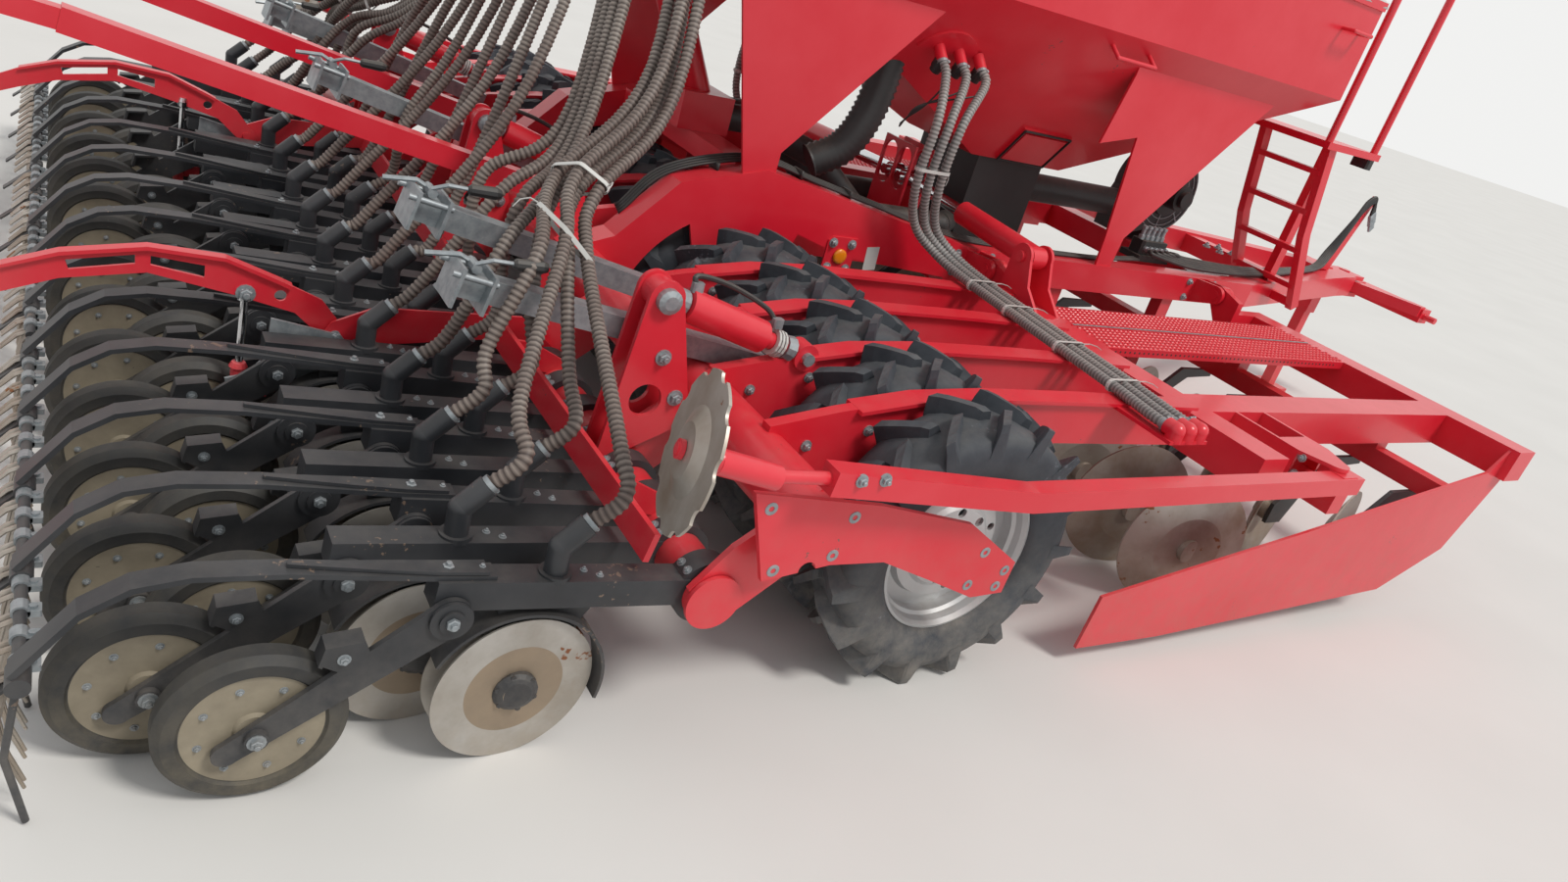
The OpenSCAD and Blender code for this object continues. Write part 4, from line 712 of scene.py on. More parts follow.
class Spots:
    """Places for one repeated part on each body: where, which way it points, its size and its roll."""

    def __init__(self):
        self.on = {}

    def put(self, body, where, aim, size, roll=None):
        """One place on one body."""
        aim = Vector(aim).normalized()
        roll = aim.orthogonal() if roll is None else Vector(roll)
        self.on.setdefault(body, []).append((place(*where), aim, roll, size))

    def both(self, where, aim, size, roll=None, bodies=("wing_right", "wing_left")):
        """The same place on the right wing and, mirrored, on the left wing."""
        flip = Vector((1, -1, 1))
        self.put(bodies[0], where, aim, size, roll)
        self.put(bodies[1], Vector(where) * flip, Vector(aim) * flip, size,
                 None if roll is None else Vector(roll) * flip)


def repeated(name, part, spots, finish, smooth=False):
    """The part at every one of its spots, as one piece for each body."""
    template = bpy.data.objects.new(name + "_template", mesh_of(name, part, in_frame=False))
    bpy.context.scene.collection.objects.link(template)
    for body, places in spots.on.items():
        seed = bpy.data.meshes.new(name)
        seed.from_pydata([tuple(p[0]) for p in places], [], [])
        for label, kind, index in (("aim", "FLOAT_VECTOR", 1), ("roll", "FLOAT_VECTOR", 2)):
            stored = seed.attributes.new(label, kind, "POINT")
            stored.data.foreach_set("vector", [c for p in places for c in p[index]])
        seed.attributes.new("size", "FLOAT", "POINT").data.foreach_set("value", [p[3] for p in places])
        mesh = grown(name, seed, part_on_points, Part=template, Size=0.001, Finish=look[finish])
        placed(f"{name}_{body}", mesh, finish, body, smooth)
    bpy.data.objects.remove(template)

# %% [markdown]
# ## Seed hoses
# The hoses are what the eye meets first: twenty-eight ribbed plastic hoses drop from the distribution
# head, cross the arms in bundles and bend down to the coulters. Their routes are the ones of the
# solids, and the ribs come from the hose tree. Each hose ends at its coulter. The hoses over the
# centre ride on the frame, and those over the wings ride on no body.

# %% Routes of the seed hoses
HEAD_X, HEAD_Z = -300, 2265


def elbow_end(n):
    """Where the hose of row n enters its elbow."""
    x = ELBOW_X + row_dx(n)
    return Vector((x + 48, row_y(n), arm_top(n, x) + 110))


def hose_route(n):
    """The points that the hose of row n follows from the distribution head."""
    m, s = (n, -1) if n <= 14 else (29 - n, 1)
    k, odd, end = 14 - m, n % 2, elbow_end(n)
    a = math.radians(175.5 - 9 * k)
    lx, lz = (18, -16) if odd else (-18, 16)
    around = [(HEAD_X + r * math.cos(a), s * r * math.sin(a), z)
              for r, z in ((250, HEAD_Z), (340, HEAD_Z), (375, HEAD_Z - 90))]
    points = around[:2]
    points.append((-250 - 12 * m, s * (623 - 48 * m),
                   2175 + (36 if m == 1 else 0)) if m <= 5 else around[2])
    points.append((-560 + 12 * k, s * (30 + 48 * k), 1900))
    if m <= 5:
        points.append((-590 + lx, s * (870 + 30 * (5 - m)), 1230 + lz))
        points.append((-820 - 15 * m + lx, s * (1095 + 24 * (5 - m)), 1010 - 10 * m + lz))
    if m <= 3:
        points.append((-880 - 20 * m + lx, s * 1345, 910 + lz - 12 * m + (15 if m == 3 and not odd else 0)))
    if m == 4:
        points.append((-942 if odd else -1002, s * 1365, 870 + 0.75 * lz))
    if m <= 4:
        points.append(end + Vector((76, -s * (55 if m == 4 else 110), 136)))
    if m == 5:
        points.append((-962 if odd else -1015, s * 1280, 735))
    if 6 <= m <= 9:
        points.append((-735, s * (740 + 44 * (9 - m)), 1085))
    if m == 6:
        points.append((-915 if odd else -1015, row_y(n) - s * 20, 840))
    if m == 7:
        points += [(-935, s * 1034, 900), (-958 if odd else -1045, s * 1038, 760)]
    if m in (8, 9):
        points.append((-950, row_y(n) - s * 20, 870))
    if m >= 10:
        points.append((-800, 0.9 * row_y(n), 1100))
    if n == 15:
        points.append((-950, 42, 800))
    return [Vector(p) for p in points] + [end + Vector((64, 0, 64)), end]


def body_of_row(n):
    """The body that carries row n."""
    return "wing_right" if n <= 9 else "frame" if n <= 19 else "wing_left"


ROWS = {"right": range(1, 10), "centre": range(10, 20), "left": range(20, 29)}
longest = 0
for side_name, rows in ROWS.items():
    routes = [smooth_route(hose_route(n)) for n in rows]
    lengths = [sum((b - a).length for a, b in zip(r, r[1:])) for r in routes]
    longest = max(longest, *lengths)
    piece = hoses("ribbed_seed_hoses_" + side_name, routes, "hose", 16.9, 13.5, 3.2)
    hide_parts("seed_hoses_" + side_name)
    if side_name == "centre":
        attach(piece, "frame")
    else:
        s = -1 if side_name == "right" else 1
        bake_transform(piece)
print("longest seed hose:", round(longest), "mm")

# %% [markdown]
# Three paler hoses leave the hopper's side on each wing and lie over the tyres to red elbows. They are
# the same kind of hose, cleaner and greyer, and ride on no body.

# %% Side hoses
side_routes = [[(605 + 90 * i, -528, 1396), (605 + 90 * i, -572, 1355), (552 + 55 * i, -668, 1220),
                (545 + 52 * i, -672, 1010), (610 + 48 * i, -655, 865), (700 + 46 * i, -705, 785),
                (728 + 46 * i, -880, 752), (690 + 46 * i, -1250, 750), (650 + 48 * i, -1640, 750),
                (620 + 50 * i, -1840, 750), (620 + 50 * i, -1900, 750)] for i in range(3)]
for side_name, s in (("right", 1), ("left", -1)):
    routes = [smooth_route([(x, s * y, z) for x, y, z in route]) for route in side_routes]
    piece = hoses("ribbed_side_hoses_" + side_name, routes, "hose_grey", 16.9, 13.5, 2.8)
    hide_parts("side_hoses_" + side_name)
    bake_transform(piece)

# %% [markdown]
# Every hose is held on its elbow by a pale worm-drive band, and the bundles by cable ties. A band is a
# hoop with its screw housing. A tie can't be one fixed hoop, because the bundles differ, so it is drawn
# round whatever hoses cross its plane.

# %% Bands
band = Gathered()
band.hoop((0, 0, 0), (0, 0, 1), 17.5, 2.6, 10, 20)
band.turned((18, -8, 0), (0, 1, 0), [(0, 4.6), (16, 4.6)], 6)
band.turned((18, 7, 0), (0, 1, 0), [(0, 6), (6, 6)], 6)
bands = Spots()
for n in range(1, ROW_COUNT + 1):
    end = elbow_end(n)
    bands.put(body_of_row(n), end + Vector((4, 0, 4)), (1, 0, 1), 1.0, (1, 0, -1))
for i in range(3):
    bands.both((605 + 90 * i, -531, 1391), (0, -0.74, -0.68), 1.05, (1, 0, 0), bodies=("frame", "frame"))
    bands.both((620 + 50 * i, -1893, 750), (0, 1, 0), 1.05, (0, 0, 1))
repeated("hose_bands", band, bands, "zinc")

# %% [markdown]
# For each tie the hoses that cross its plane give small circles, and the tie is the line drawn
# tightly round all of them, with a short tail.

# %% Ties drawn round their bundles
def hull(points):
    """The points of a plane that lie on the outside, in order."""
    points = sorted(points)
    sides = []
    for run in (points, points[::-1]):
        chain = []
        for p in run:
            while len(chain) > 1 and ((chain[-1][0] - chain[-2][0]) * (p[1] - chain[-2][1])
                                      - (chain[-1][1] - chain[-2][1]) * (p[0] - chain[-2][0])) <= 0:
                chain.pop()
            chain.append(p)
        sides += chain[:-1]
    return sides


def tie_round(gathered, routes, where, aim, reach):
    """A tie in the plane through where, drawn round the hoses that cross it within reach."""
    where, aim = Vector(where), Vector(aim).normalized()
    side = aim.orthogonal().normalized()
    other = aim.cross(side)
    outline = []
    for route in routes:
        for a, b in zip(route, route[1:]):
            da, db = (a - where).dot(aim), (b - where).dot(aim)
            if da * db < 0:
                off = a + (b - a) * da / (da - db) - where
                if off.length < reach:
                    outline += [(off.dot(side) + 18.5 * math.cos(t), off.dot(other) + 18.5 * math.sin(t))
                                for t in (math.pi * k / 6 for k in range(12))]
    if not outline:
        print("no hose near", [round(v) for v in where])
        return
    rings = []
    middle = Vector((sum(p[0] for p in outline), sum(p[1] for p in outline))) / len(outline)
    for u, v in hull(outline):
        out = (Vector((u, v)) - middle).normalized() * 2.6
        inner, outer = where + side * u + other * v, where + side * (u + out.x) + other * (v + out.y)
        rings.append([inner - aim * 5.5, outer - aim * 5.5, outer + aim * 5.5, inner + aim * 5.5])
    gathered.rings(rings, closed=True)
    tail = rings[0][1] + aim * 4
    away = (tail - where).normalized()
    gathered.tube([tail, tail + away * 22 + aim * 6, tail + away * 34 + aim * 26,
                   tail + away * 30 + aim * 50], [1.8, 1.8, 1.5, 1.0], 5)


routes_right = [smooth_route(hose_route(n)) for n in range(1, 10)]
side_right = [smooth_route(route) for route in side_routes]
ties, side_ties = Gathered(), Gathered()
tie_round(ties, routes_right[:5], (-800, -1180, 985), (-0.62, -0.62, -0.48), 230)
tie_round(ties, routes_right[:4], (-905, -1345, 895), (-0.75, -0.1, -0.65), 150)
on_both_wings("bundle_ties", ties, "white")
for where, way in (((740, -905, 752), (0, -1, 0)), ((725, -1120, 751), (0, -1, 0)),
                   ((690, -1400, 750), (0, -1, 0)), ((665, -1660, 750), (0, -1, 0))):
    tie_round(side_ties, side_right, where, way, 160)
on_both_wings("side_hose_ties", side_ties, "white")
hub_ties = Gathered()
tie_round(hub_ties, side_right, (620, -672, 1060), (0, 0, -1), 190)
piece_of("hopper_ties_right", hub_ties, "white")
piece_of("hopper_ties_left", hub_ties.mirrored(), "white")

# %% [markdown]
# ## Bolts, caps and pins
# Bolts are what gives plates their scale. One hexagon bolt with its washer is drawn once in a size of
# one millimetre across its corner radius, and every place below gives the real size in millimetres.

# %% One bolt and one countersunk screw
bolt = Gathered()
bolt.turned((0, 0, 0), (0, 0, 1), [(-0.3, 1.5), (0.22, 1.5), (0.24, 1.3)], 12)
bolt.turned((0, 0, 0), (0, 0, 1), [(0.2, 1.0), (0.9, 1.0), (1.02, 0.82)], 6)
bolt.turned((0, 0, 0), (0, 0, 1), [(1.0, 0.52), (1.5, 0.52), (1.58, 0.44)], 8)
screw = Gathered()
screw.turned((0, 0, 0), (0, 0, 1), [(-0.4, 1.0), (0.06, 1.0), (0.1, 0.92), (0.1, 0.45), (-0.1, 0.4)], 14)

bolts = Spots()
for n in range(1, ROW_COUNT + 1):
    y, dx, body = row_y(n), row_dx(n), body_of_row(n)
    out = 1 if n >= 20 else -1
    slope = Vector((0.08, 0, 1))
    for off, aside in ((64, 9), (92, -9)):
        x = ELBOW_X + dx + off
        bolts.put(body, (x, y + aside, arm_top(n, x)), slope, 5.5)
    bolts.put(body, (-1282 + dx, y + out * 53, 380), (0, out, 0), 13)
    bolts.put(body, (PRESS_X + dx, y + out * 57, PRESS_Z), (0, out, 0), 11)
    bolts.put(body, (PRESS_X + dx + 132, y + out * 45, 314), (0, out, 0), 8)
    for up in (1, -1):
        bolts.put(body, (-738 - 52, y + up * 15, 372 + 54), (-0.69, 0, 0.72), 7)
    if n % 2:
        for bx, size_mm in ((-1224, 8), (-1288, 11)):
            bolts.put(body, (bx, y, arm_top(n, bx) + 9), slope, size_mm)
for middle, body in ((-LIFT_Y, "wing_right"), (0, "frame"), (LIFT_Y, "wing_left")):
    for way in (-1, 1):
        for x, z in ((-697, 690), (-640, 585)):
            bolts.put(body, (x, middle + way * 40, z), (0, way, 0), 14)
for x, z in ((358, 740), (438, 740), (358, 650), (438, 650)):
    for s in (-1, 1):
        bolts.put("frame", (x, s * SIDE_FACE_Y, z), (0, s, 0), 12)
for x in (1005, 2400):
    for dx, dz in ((-70, 36), (105, 36), (-70, -36), (105, -36)):
        for s in (-1, 1):
            bolts.put("frame", (x + dx, s * 566, 718 + dz), (0, s, 0), 11)
for x in (-420, -250, -80, 150, 330):
    for y in (1714.3, 1428.6, 1142.9, 857.1):
        bolts.both((x, -y - 18, 640 if x != -420 else 600), (0, -1, 0), 10)
for x, z in ((-1330, 380), (-1395, 368), (-1295, 443)):
    bolts.both((x, -890 if x != -1295 else -880, z), (0, -1, 0), 9)
bolts.both((-1502, -867, 536), (0, -1, 0), 15)
for x in (-560, -500):
    bolts.both((x, -2107, 735), (0, -1, 0), 10, bodies=("marker_right", "marker_left"))
for x in (1208, 1352):
    for z in (628, 682):
        bolts.both((x, -1975, z), (-1 if x < 1280 else 1, 0, 0), 9)
for dy in (-45, 45):
    for z in (3200, 3300):
        bolts.put("frame", (z, dy, 774), (0, 0, 1), 14)
repeated("bolts", bolt, bolts, "zinc")

screws = Spots()
for x, z in ((-700, 632), (-480, 600), (-648, 478), (-505, 505), (-45, 478), (48, 418), (-60, 385),
             (38, 372)):
    screws.both((x, -2037, z), (0, -1, 0), 15)
repeated("plate_screws", screw, screws, "zinc")

# %% [markdown]
# A press wheel's dish has eight small bolts around its hub, and each opener disc has six around its
# bearing cap. The press wheels' bolts turn with their rank, so they ride on that rank's body. The
# opener discs have no joint, so their caps stay on the body that carries the row.

# %% Wheel bolts and disc caps
web_bolts = Spots()
for n in range(1, ROW_COUNT + 1):
    body = ("press_front_" if n % 2 else "press_rear_") + ("right" if n <= 9 else "centre" if n <= 19
                                                           else "left")
    x = PRESS_X + row_dx(n)
    for k in range(8):
        a = math.radians(45 * k + 17 * n)
        for s in (-1, 1):
            where = (x + 92 * math.cos(a), row_y(n) + s * 22, PRESS_Z + 92 * math.sin(a))
            web_bolts.put(body, where, (0, s, 0), 5)
repeated("press_wheel_bolts", bolt, web_bolts, "zinc")

cap = Gathered()
cap.turned((0, 0, 0), (0, 0, 1), [(-6, 46), (5, 46), (12, 38), (16, 30), (17, 14)], 18)
for k in range(6):
    a = math.radians(60 * k)
    cap.turned((40 * math.cos(a), 40 * math.sin(a), 0), (0, 0, 1), [(2, 6), (11, 6)], 6)
caps = Spots()
for n in range(1, ROW_COUNT + 1):
    for s in (-1, 1):
        lean = math.radians(5) * s
        where = (OPENER_X + row_dx(n), row_y(n) + s * 26, OPENER_Z)
        caps.put(body_of_row(n), where, (math.sin(lean), s * math.cos(lean), 0), 1.0)
repeated("opener_caps", cap, caps, "black")

# %% [markdown]
# ## Tyres
# The packer's tyres have tall curved bars that meet along the middle. The carcass is one turned
# shape. A bar is drawn once on each half, and the point tree places fifteen pairs around every tyre.

# %% Tyres with bars
carcass_profile = [(-72, 226), (-84, 238), (-93, 262), (-97, 292), (-95, 318), (-84, 342), (-60, 350),
                   (-30, 353), (0, 354),
                   (30, 353), (60, 350), (84, 342), (95, 318), (97, 292), (93, 262), (84, 238), (72, 226)]
BAR_STATIONS = ((0.00, 97, 322, 10, 22, 300), (0.06, 96, 366, 12, 22, 312), (0.12, 92, 388, 13, 22, 326),
                (0.35, 70, 389, 13, 21, 342), (0.65, 38, 386, 14, 21, 346), (0.90, 8, 383, 15, 21, 348),
                (1.00, -6, 376, 13, 19, 348))
bar = Gathered()
for s, start in ((1, 0.0), (-1, 12.0)):
    stations = []
    for share, y, top, half_top, half_base, base in BAR_STATIONS:
        a = math.radians(start + 15 * share ** 1.3 - 4)
        out, along = Vector((math.sin(a), 0, math.cos(a))), Vector((math.cos(a), 0, -math.sin(a)))
        middle = Vector((0, s * y, 0))
        stations.append([middle + out * base - along * half_base, middle + out * top - along * half_top,
                         middle + out * top + along * half_top, middle + out * base + along * half_base])
    bar.rings(stations)
bars = Spots()
for side_name, numbers in (("right", range(1, 6)), ("centre", range(6, 10)), ("left", range(10, 15))):
    body = "packer_" + side_name
    carcasses = Gathered()
    for i in numbers:
        y = -2000 + (i - 0.5) * 4000 / 14
        carcasses.ring_of((0, y, TYRE_Z), (0, 1, 0), carcass_profile, 60)
        for k in range(15):
            a = math.radians(24 * k + 9)
            bars.put(body, (0, y, TYRE_Z), (math.cos(a), 0, math.sin(a)), 1.0,
                     (math.sin(a), 0, -math.cos(a)))
    piece = piece_of("tyre_carcasses_" + side_name, carcasses, "tyre", body, smooth=True)
    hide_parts("tyres_" + side_name)
repeated("tyre_bars", bar, bars, "tyre")

# %% [markdown]
# ## Tines, steps and treads
# Behind the coulters a galvanised bar carries pairs of thin spring tines on small clips. The solids
# have one tine for each odd row; the clips and the finer tines between them come here.

# %% Clips and fine tines on the tine bar
clip = Gathered()
clip.hoop((0, 0, 0), (0, 1, 0), 10.5, 4, 26, 12)
clip.box((8, -13, -9), (30, 13, 3))
clip.turned((18, 0, 3), (0, 0, 1), [(0, 7), (5, 7)], 6)
fine = Gathered()
for y in (-9, 9):
    fine.tube([(0, y, -11), (-16, y, -40), (-30, y, -110), (-18, y, -190), (4, y, -255)], [4, 4, 4, 3.6, 3],
              6)
    fine.tube([(4, y, -9), (-28, y, -24), (-62, y, -60)], [5, 5, 3], 6)
clips, tines = Spots(), Spots()
for n in range(1, ROW_COUNT + 1):
    for half in (0.25, 0.75):
        y = row_y(n) + (half - 0.5) * 142.857
        if min(abs(abs(y) - 680), 2000 - abs(y)) < 60:
            continue
        for spots in (clips, tines):
            spots.put(body_of_row(n), (-1930, y, 310), (0, 0, 1), 1.0, (1, 0, 0))
repeated("tine_clips", clip, clips, "zinc")
repeated("fine_tines", fine, tines, "disc")

# %% [markdown]
# The leaf springs over the coulters are two leaves thick where they are bolted. The short upper leaf
# is tapered, and follows the spring's own curve a leaf's thickness above it.

# %% Short upper leaves
leaves = {}
for n in range(1, ROW_COUNT, 2):
    rings = []
    for x, half in ((-1215, 34), (-1300, 32), (-1400, 26), (-1500, 15), (-1560, 7)):
        z = arm_top(n, x) + 10 if x > -1320 else 473 + (-1400 - x) * 0.112
        y = row_y(n)
        rings.append([(x, y - half * 0.62, z), (x, y + half * 0.62, z), (x, y + half * 0.62, z + 7),
                      (x, y - half * 0.62, z + 7)])
    leaves.setdefault(body_of_row(n), Gathered()).rings(rings)
for body, gathered in leaves.items():
    piece_of("upper_leaves_" + body, gathered, "black", body)

# %% [markdown]
# The steps over the harrow are pressed from plate with rows of raised holes, which give grip. Every
# hole is a raised collar around a dark disc of painted shade that stands for the opening, set out in
# rows by the point tree. A bright strip of worn metal runs between the two treads.

# %% Raised holes in the treads
collar = Gathered()
collar.ring_of((0, 0, 0), (0, 0, 1), [(-1, 5.5), (-1, 9.5), (1, 9.0), (4, 6.6), (3.2, 5.5)], 8)
# Painted shade: a flat dark disc sits in each hole in place of the shade seen through the opening.
hole_shade = Gathered()
hole_shade.turned((0, 0, 0), (0, 0, 1), [(-1, 5.6), (0.8, 5.6)], 8)
collars, hole_shades = Spots(), Spots()
for y0 in (-1245, -1063):
    for row in range(7):
        for column in range(60):
            where = (1100 + column * 24.4 + (row % 2) * 12, y0 + row * 24.5, 700)
            for spots in (collars, hole_shades):
                spots.both(where, (0, 0, 1), 1.0, (1, 0, 0))
# The holes along the step's side face are dark discs of painted shade too.
for column in range(56):
    hole_shades.both((1105 + column * 25, -1260, 686), (0, -1, 0), 0.75, (1, 0, 0))
repeated("tread_collars", collar, collars, "red")
# The hole discs take the black plastic finish as painted shade.
repeated("tread_holes", hole_shade, hole_shades, "plastic")
strip = Gathered()
strip.box((1085, -1083, 703), (2545, -1077, 706))
on_both_wings("tread_strip", strip, "zinc")

# %% [markdown]
# ## Clamps, clips and hydraulic lines
# The hose bars end in clamp plates with a swinging lever. The lift cylinders carry a stack of stroke
# clips, and their hoses run forward in loose curves between the arms.

# %% Levers on the hose bars
for name, y, (x, z), both in (("lever_outer", -1345, (-1172, 797), True),
                         ("lever_inner", -1098.4, (-1214, 875), True),
                         ("lever_centre", 98, (-1214, 875), False)):
    lever, grip = Gathered(), Gathered()
    lever.tube([(x + 40, y + 10, z + 38), (x + 12, y + 14, z + 52), (x - 60, y + 24, z + 46)], 6, 6)
    lever.turned((x + 40, y - 26, z + 36), (0, 1, 0), [(0, 12), (52, 12)], 8)
    lever.tube([(x + 36, y - 22, z + 46), (x + 70, y - 34, z + 62), (x + 120, y - 40, z + 60)], 5, 6)
    grip.turned((x + 112, y - 39, z + 60), (1, -0.06, -0.02), [(0, 8), (6, 13), (64, 15), (76, 10)], 10)
    if both:
        on_both_wings(name, lever, "zinc")
        on_both_wings(name + "_grip", grip, "plastic")
    else:
        piece_of(name, lever, "zinc")
        piece_of(name + "_grip", grip, "plastic")


# %% [markdown]
# The lift cylinders are solids already. What they lack is the stack of pale stroke clips on the
# rod, the end fittings and a short hose.

# %% Lift cylinders
def lift_cylinder(y):
    """The clip stack on the rod, the zinc end and the hose of the lift cylinder at y."""
    start, end = Vector((-697, y, 826.5)), Vector((-282, y, 698))
    way = (end - start).normalized()
    white, zinc, line = Gathered(), Gathered(), Gathered()
    zinc.turned(start + way * 48 - way * 46, way, [(0, 30), (10, 33), (40, 33), (44, 28)], 16)
    for k in range(3):
        white.hoop(start + way * (328 + 11 * k), way, 24, 12, 7, 14)
    zinc.turned(start + way * 366, way, [(0, 30), (26, 34), (30, 26)], 12)
    zinc.turned((-282, y - 42, 698), (0, 1, 0), [(0, 17), (84, 17)], 12)
    zinc.turned((-721, y - 64, 834), (0, 1, 0), [(0, 17), (6, 30), (7, 30), (121, 30), (122, 30),
                                                 (128, 17)], 14)
    line.tube(smooth_route([start + way * 70 + Vector((0, 0, 44)), start + way * 70 + Vector((0, 10, 74)),
                            start + way * 180 + Vector((0, 22, 84)),
                            start + way * 300 + Vector((0, 18, 70)),
                            start + way * 330 + Vector((0, 2, 40))]), 7, 8)
    for reach in (70, 330):
        zinc.box(tuple(start + way * reach + Vector((-14, -11, 38))),
                 tuple(start + way * reach + Vector((14, 11, 62))))
    return white, zinc, line


CYLINDER_PARTS = (("stroke_clips", "white"), ("cylinder_fittings", "zinc"), ("cylinder_hose", "plastic"))
for (kind, finish), gathered in zip(CYLINDER_PARTS, lift_cylinder(-LIFT_Y)):
    on_both_wings(kind, gathered, finish)
for (kind, finish), gathered in zip(CYLINDER_PARTS, lift_cylinder(0)):
    piece_of(kind + "_centre", gathered, finish)

# %% [markdown]
# The tramline arm rests on a small cylinder of its own, a chromed rod in a red barrel between two
# rows. The rod reaches from the barrel on the wing up to the arm and rides on no body.

# %% Cylinder under the tramline arm
rod, barrel = Gathered(), Gathered()
rod.turned((-1502, -862, 548), (-0.02, 0, -1), [(0, 12), (14, 16), (30, 16), (34, 9), (215, 9)], 12)
for side_name, s, gathered in (("right", -1, rod), ("left", 1, rod.mirrored())):
    piece = placed("arm_rod_" + side_name, mesh_of("arm_rod", gathered), "chrome", None)
    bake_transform(piece)
barrel.turned((-1506, -862, 352), (-0.02, 0, -1), [(0, 16), (12, 22), (16, 17), (120, 17), (126, 12)], 12)
barrel.box((-1506, -872, 262), (-1440, -866, 300))
on_both_wings("arm_barrel", barrel, "red")

# %% [markdown]
# ## Hydraulics and cables on the frame
# Black hydraulic hoses come from the coupling rest on the drawbar, pass the valve block and follow the
# beams. Both ends of each are held, so they are part of the machine and not free cords.

# %% Valve block, hydraulic hoses and the coupling rest
valve, fittings, lines = Gathered(), Gathered(), Gathered()
valve.box((2120, -420, 774), (2330, -300, 800))
valve.box((2140, -400, 800), (2310, -320, 862))
for k in range(5):
    fittings.turned((2156 + 34 * k, -360, 862), (0, 0, 1), [(0, 14), (18, 14), (20, 10), (46, 10), (48, 13),
                                                            (60, 13)], 8)
    fittings.turned((2156 + 34 * k, -400, 832), (0, -1, 0), [(0, 12), (14, 12), (16, 8), (34, 8)], 6)
    lines.tube(smooth_route([(2156 + 34 * k, -432, 832), (2170 + 34 * k, -462, 820 + 4 * k),
                             (2440, -485 + 14 * k, 792 + 6 * k), (2900, -460 + 14 * k, 790 + 3 * k),
                             (3500, -300 + 13 * k, 790), (3950, -150 + 10 * k, 792),
                             (4090, -100 + 8 * k, 850 + 8 * k), (4180, -82, 1010 + 18 * k),
                             (4236, -76, 1130 + 14 * k), (4290, -82, 1190 + 6 * k),
                             (4318 - 4 * k, -90, 1140 - 6 * k)]), 9, 8)
    fittings.turned((4316 - 4 * k, -90, 1142 - 6 * k), (0.35, -0.2, -1),
                    [(0, 10), (10, 13), (60, 13), (64, 9), (92, 9)], 8)
piece_of("valve_block", valve, "plastic")
piece_of("valve_fittings", fittings, "zinc")
piece_of("hydraulic_hoses", lines, "plastic", smooth=True)

# %% [markdown]
# The air duct between the fan pipe and the tower is a wide ribbed hose, so it comes from the same
# tree. The cables lie along the frame's upper edge in a flat bundle with clips.

# %% Air duct and cable bundles
duct = hoses("air_duct", [smooth_route([(330, -330, 950), (420, -352, 1010), (470, -368, 1100),
                                        (500, -372, 1230),
                                        (505, -372, 1400)])], "plastic", 62, 22, 7, sides=16)
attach(duct, "frame")
cables = Gathered()
for k in range(4):
    cables.tube(smooth_route([(-410, -470 + 11 * k, 722 + 4 * k), (-269, -480 + 11 * k, 878 + 4 * k),
                              (30, -490 + 11 * k, 957 + 4 * k), (277, -495 + 11 * k, 916 + 3 * k),
                              (527, -500 + 11 * k, 870 + 3 * k), (1010, -500 + 11 * k, 787 + 3 * k),
                              (1700, -498 + 11 * k, 782), (2100, -440 + 11 * k, 786)]), 5, 6)
for x, z in ((-120, 918), (200, 935), (420, 892), (760, 836), (1300, 790)):
    cables.box((x - 4, -508, z - 14), (x + 4, -448, z + 16))
piece_of("cable_bundle", cables, "plastic", smooth=True)
print("duct and cables made")

# %% [markdown]
# ## Reflectors and lamps
# A side plate of the frame carries a small plate with an amber reflector, and beside it a label,
# which stays blank.

# %% Reflectors, labels and the side's small plates
reflector, amber, label = Gathered(), Gathered(), Gathered()
for s in (-1, 1):
    y0, y1 = sorted((s * 565, s * SIDE_FACE_Y))
    reflector.plate([(336, 628), (460, 628), (460, 762), (352, 762), (336, 748)], y0, y1)
    amber.turned((398, s * SIDE_FACE_Y, 694), (0, s, 0), [(0, 27), (7, 27), (10, 20), (11, 8)], 24)
    amber.turned((1240, s * SIDE_FACE_Y, 716), (0, s, 0), [(-4, 25), (2, 25), (6, 20), (7, 8)], 24)
    y0, y1 = sorted((s * 564.5, s * 566))
    label.plate([(520, 650), (574, 656), (566, 742), (512, 736)], y0, y1)
piece_of("reflector_plates", reflector, "red")
piece_of("amber_reflectors", amber, "amber", smooth=True)
piece_of("blank_labels", label, "white")

# %% [markdown]
# Rear lamps hang under the boards, two red lenses side by side in each black housing, and small work
# lamps stand at the front of the platform. Lenses are shallow turned caps.

# %% Rear lamps and work lamps
housing, red_lens, clear = Gathered(), Gathered(), Gathered()
for s in (-1, 1):
    y = s * 480
    housing.box((-3078, y - 150, 1002), (-3046, y + 150, 1078))
    for off in (-75, 75):
        red_lens.turned((-3078, y + off, 1040), (-1, 0, 0), [(-2, 33), (0.5, 33), (1.6, 20), (1.9, 6)], 20)
    housing.box((3150, s * 560 - 45, 1392), (3196, s * 560 + 45, 1438))
    clear.turned((3196, s * 560, 1415), (1, 0, 0), [(-2, 19), (3, 18), (5, 8)], 18)
    housing.tube([(3160, s * 560, 1438), (3150, s * 560, 1450)], 8, 6)
piece_of("lamp_housings", housing, "plastic")
piece_of("red_lenses", red_lens, "lens", smooth=True)
piece_of("work_lamp_glass", clear, "white", smooth=True)

# %% [markdown]
# ## Fan, door and sensors
# The fan sucks through a round guard of wire rings. The calibration door and the sensors of the side
# hoses are small black and pale plastic parts on the hopper's side.

# %% Fan guard and hopper fittings
guard = Gathered()
for radius in (30, 60, 92, 124, 156, 180):
    guard.hoop((2560, -92, 1030), (0, 1, 0), radius, 3, 4, 28)
for k in range(8):
    a = math.radians(45 * k)
    guard.tube([(2560 + 24 * math.cos(a), -94, 1030 + 24 * math.sin(a)),
                (2560 + 184 * math.cos(a), -94, 1030 + 184 * math.sin(a))], 2.6, 6)
piece_of("fan_guard", guard, "zinc")

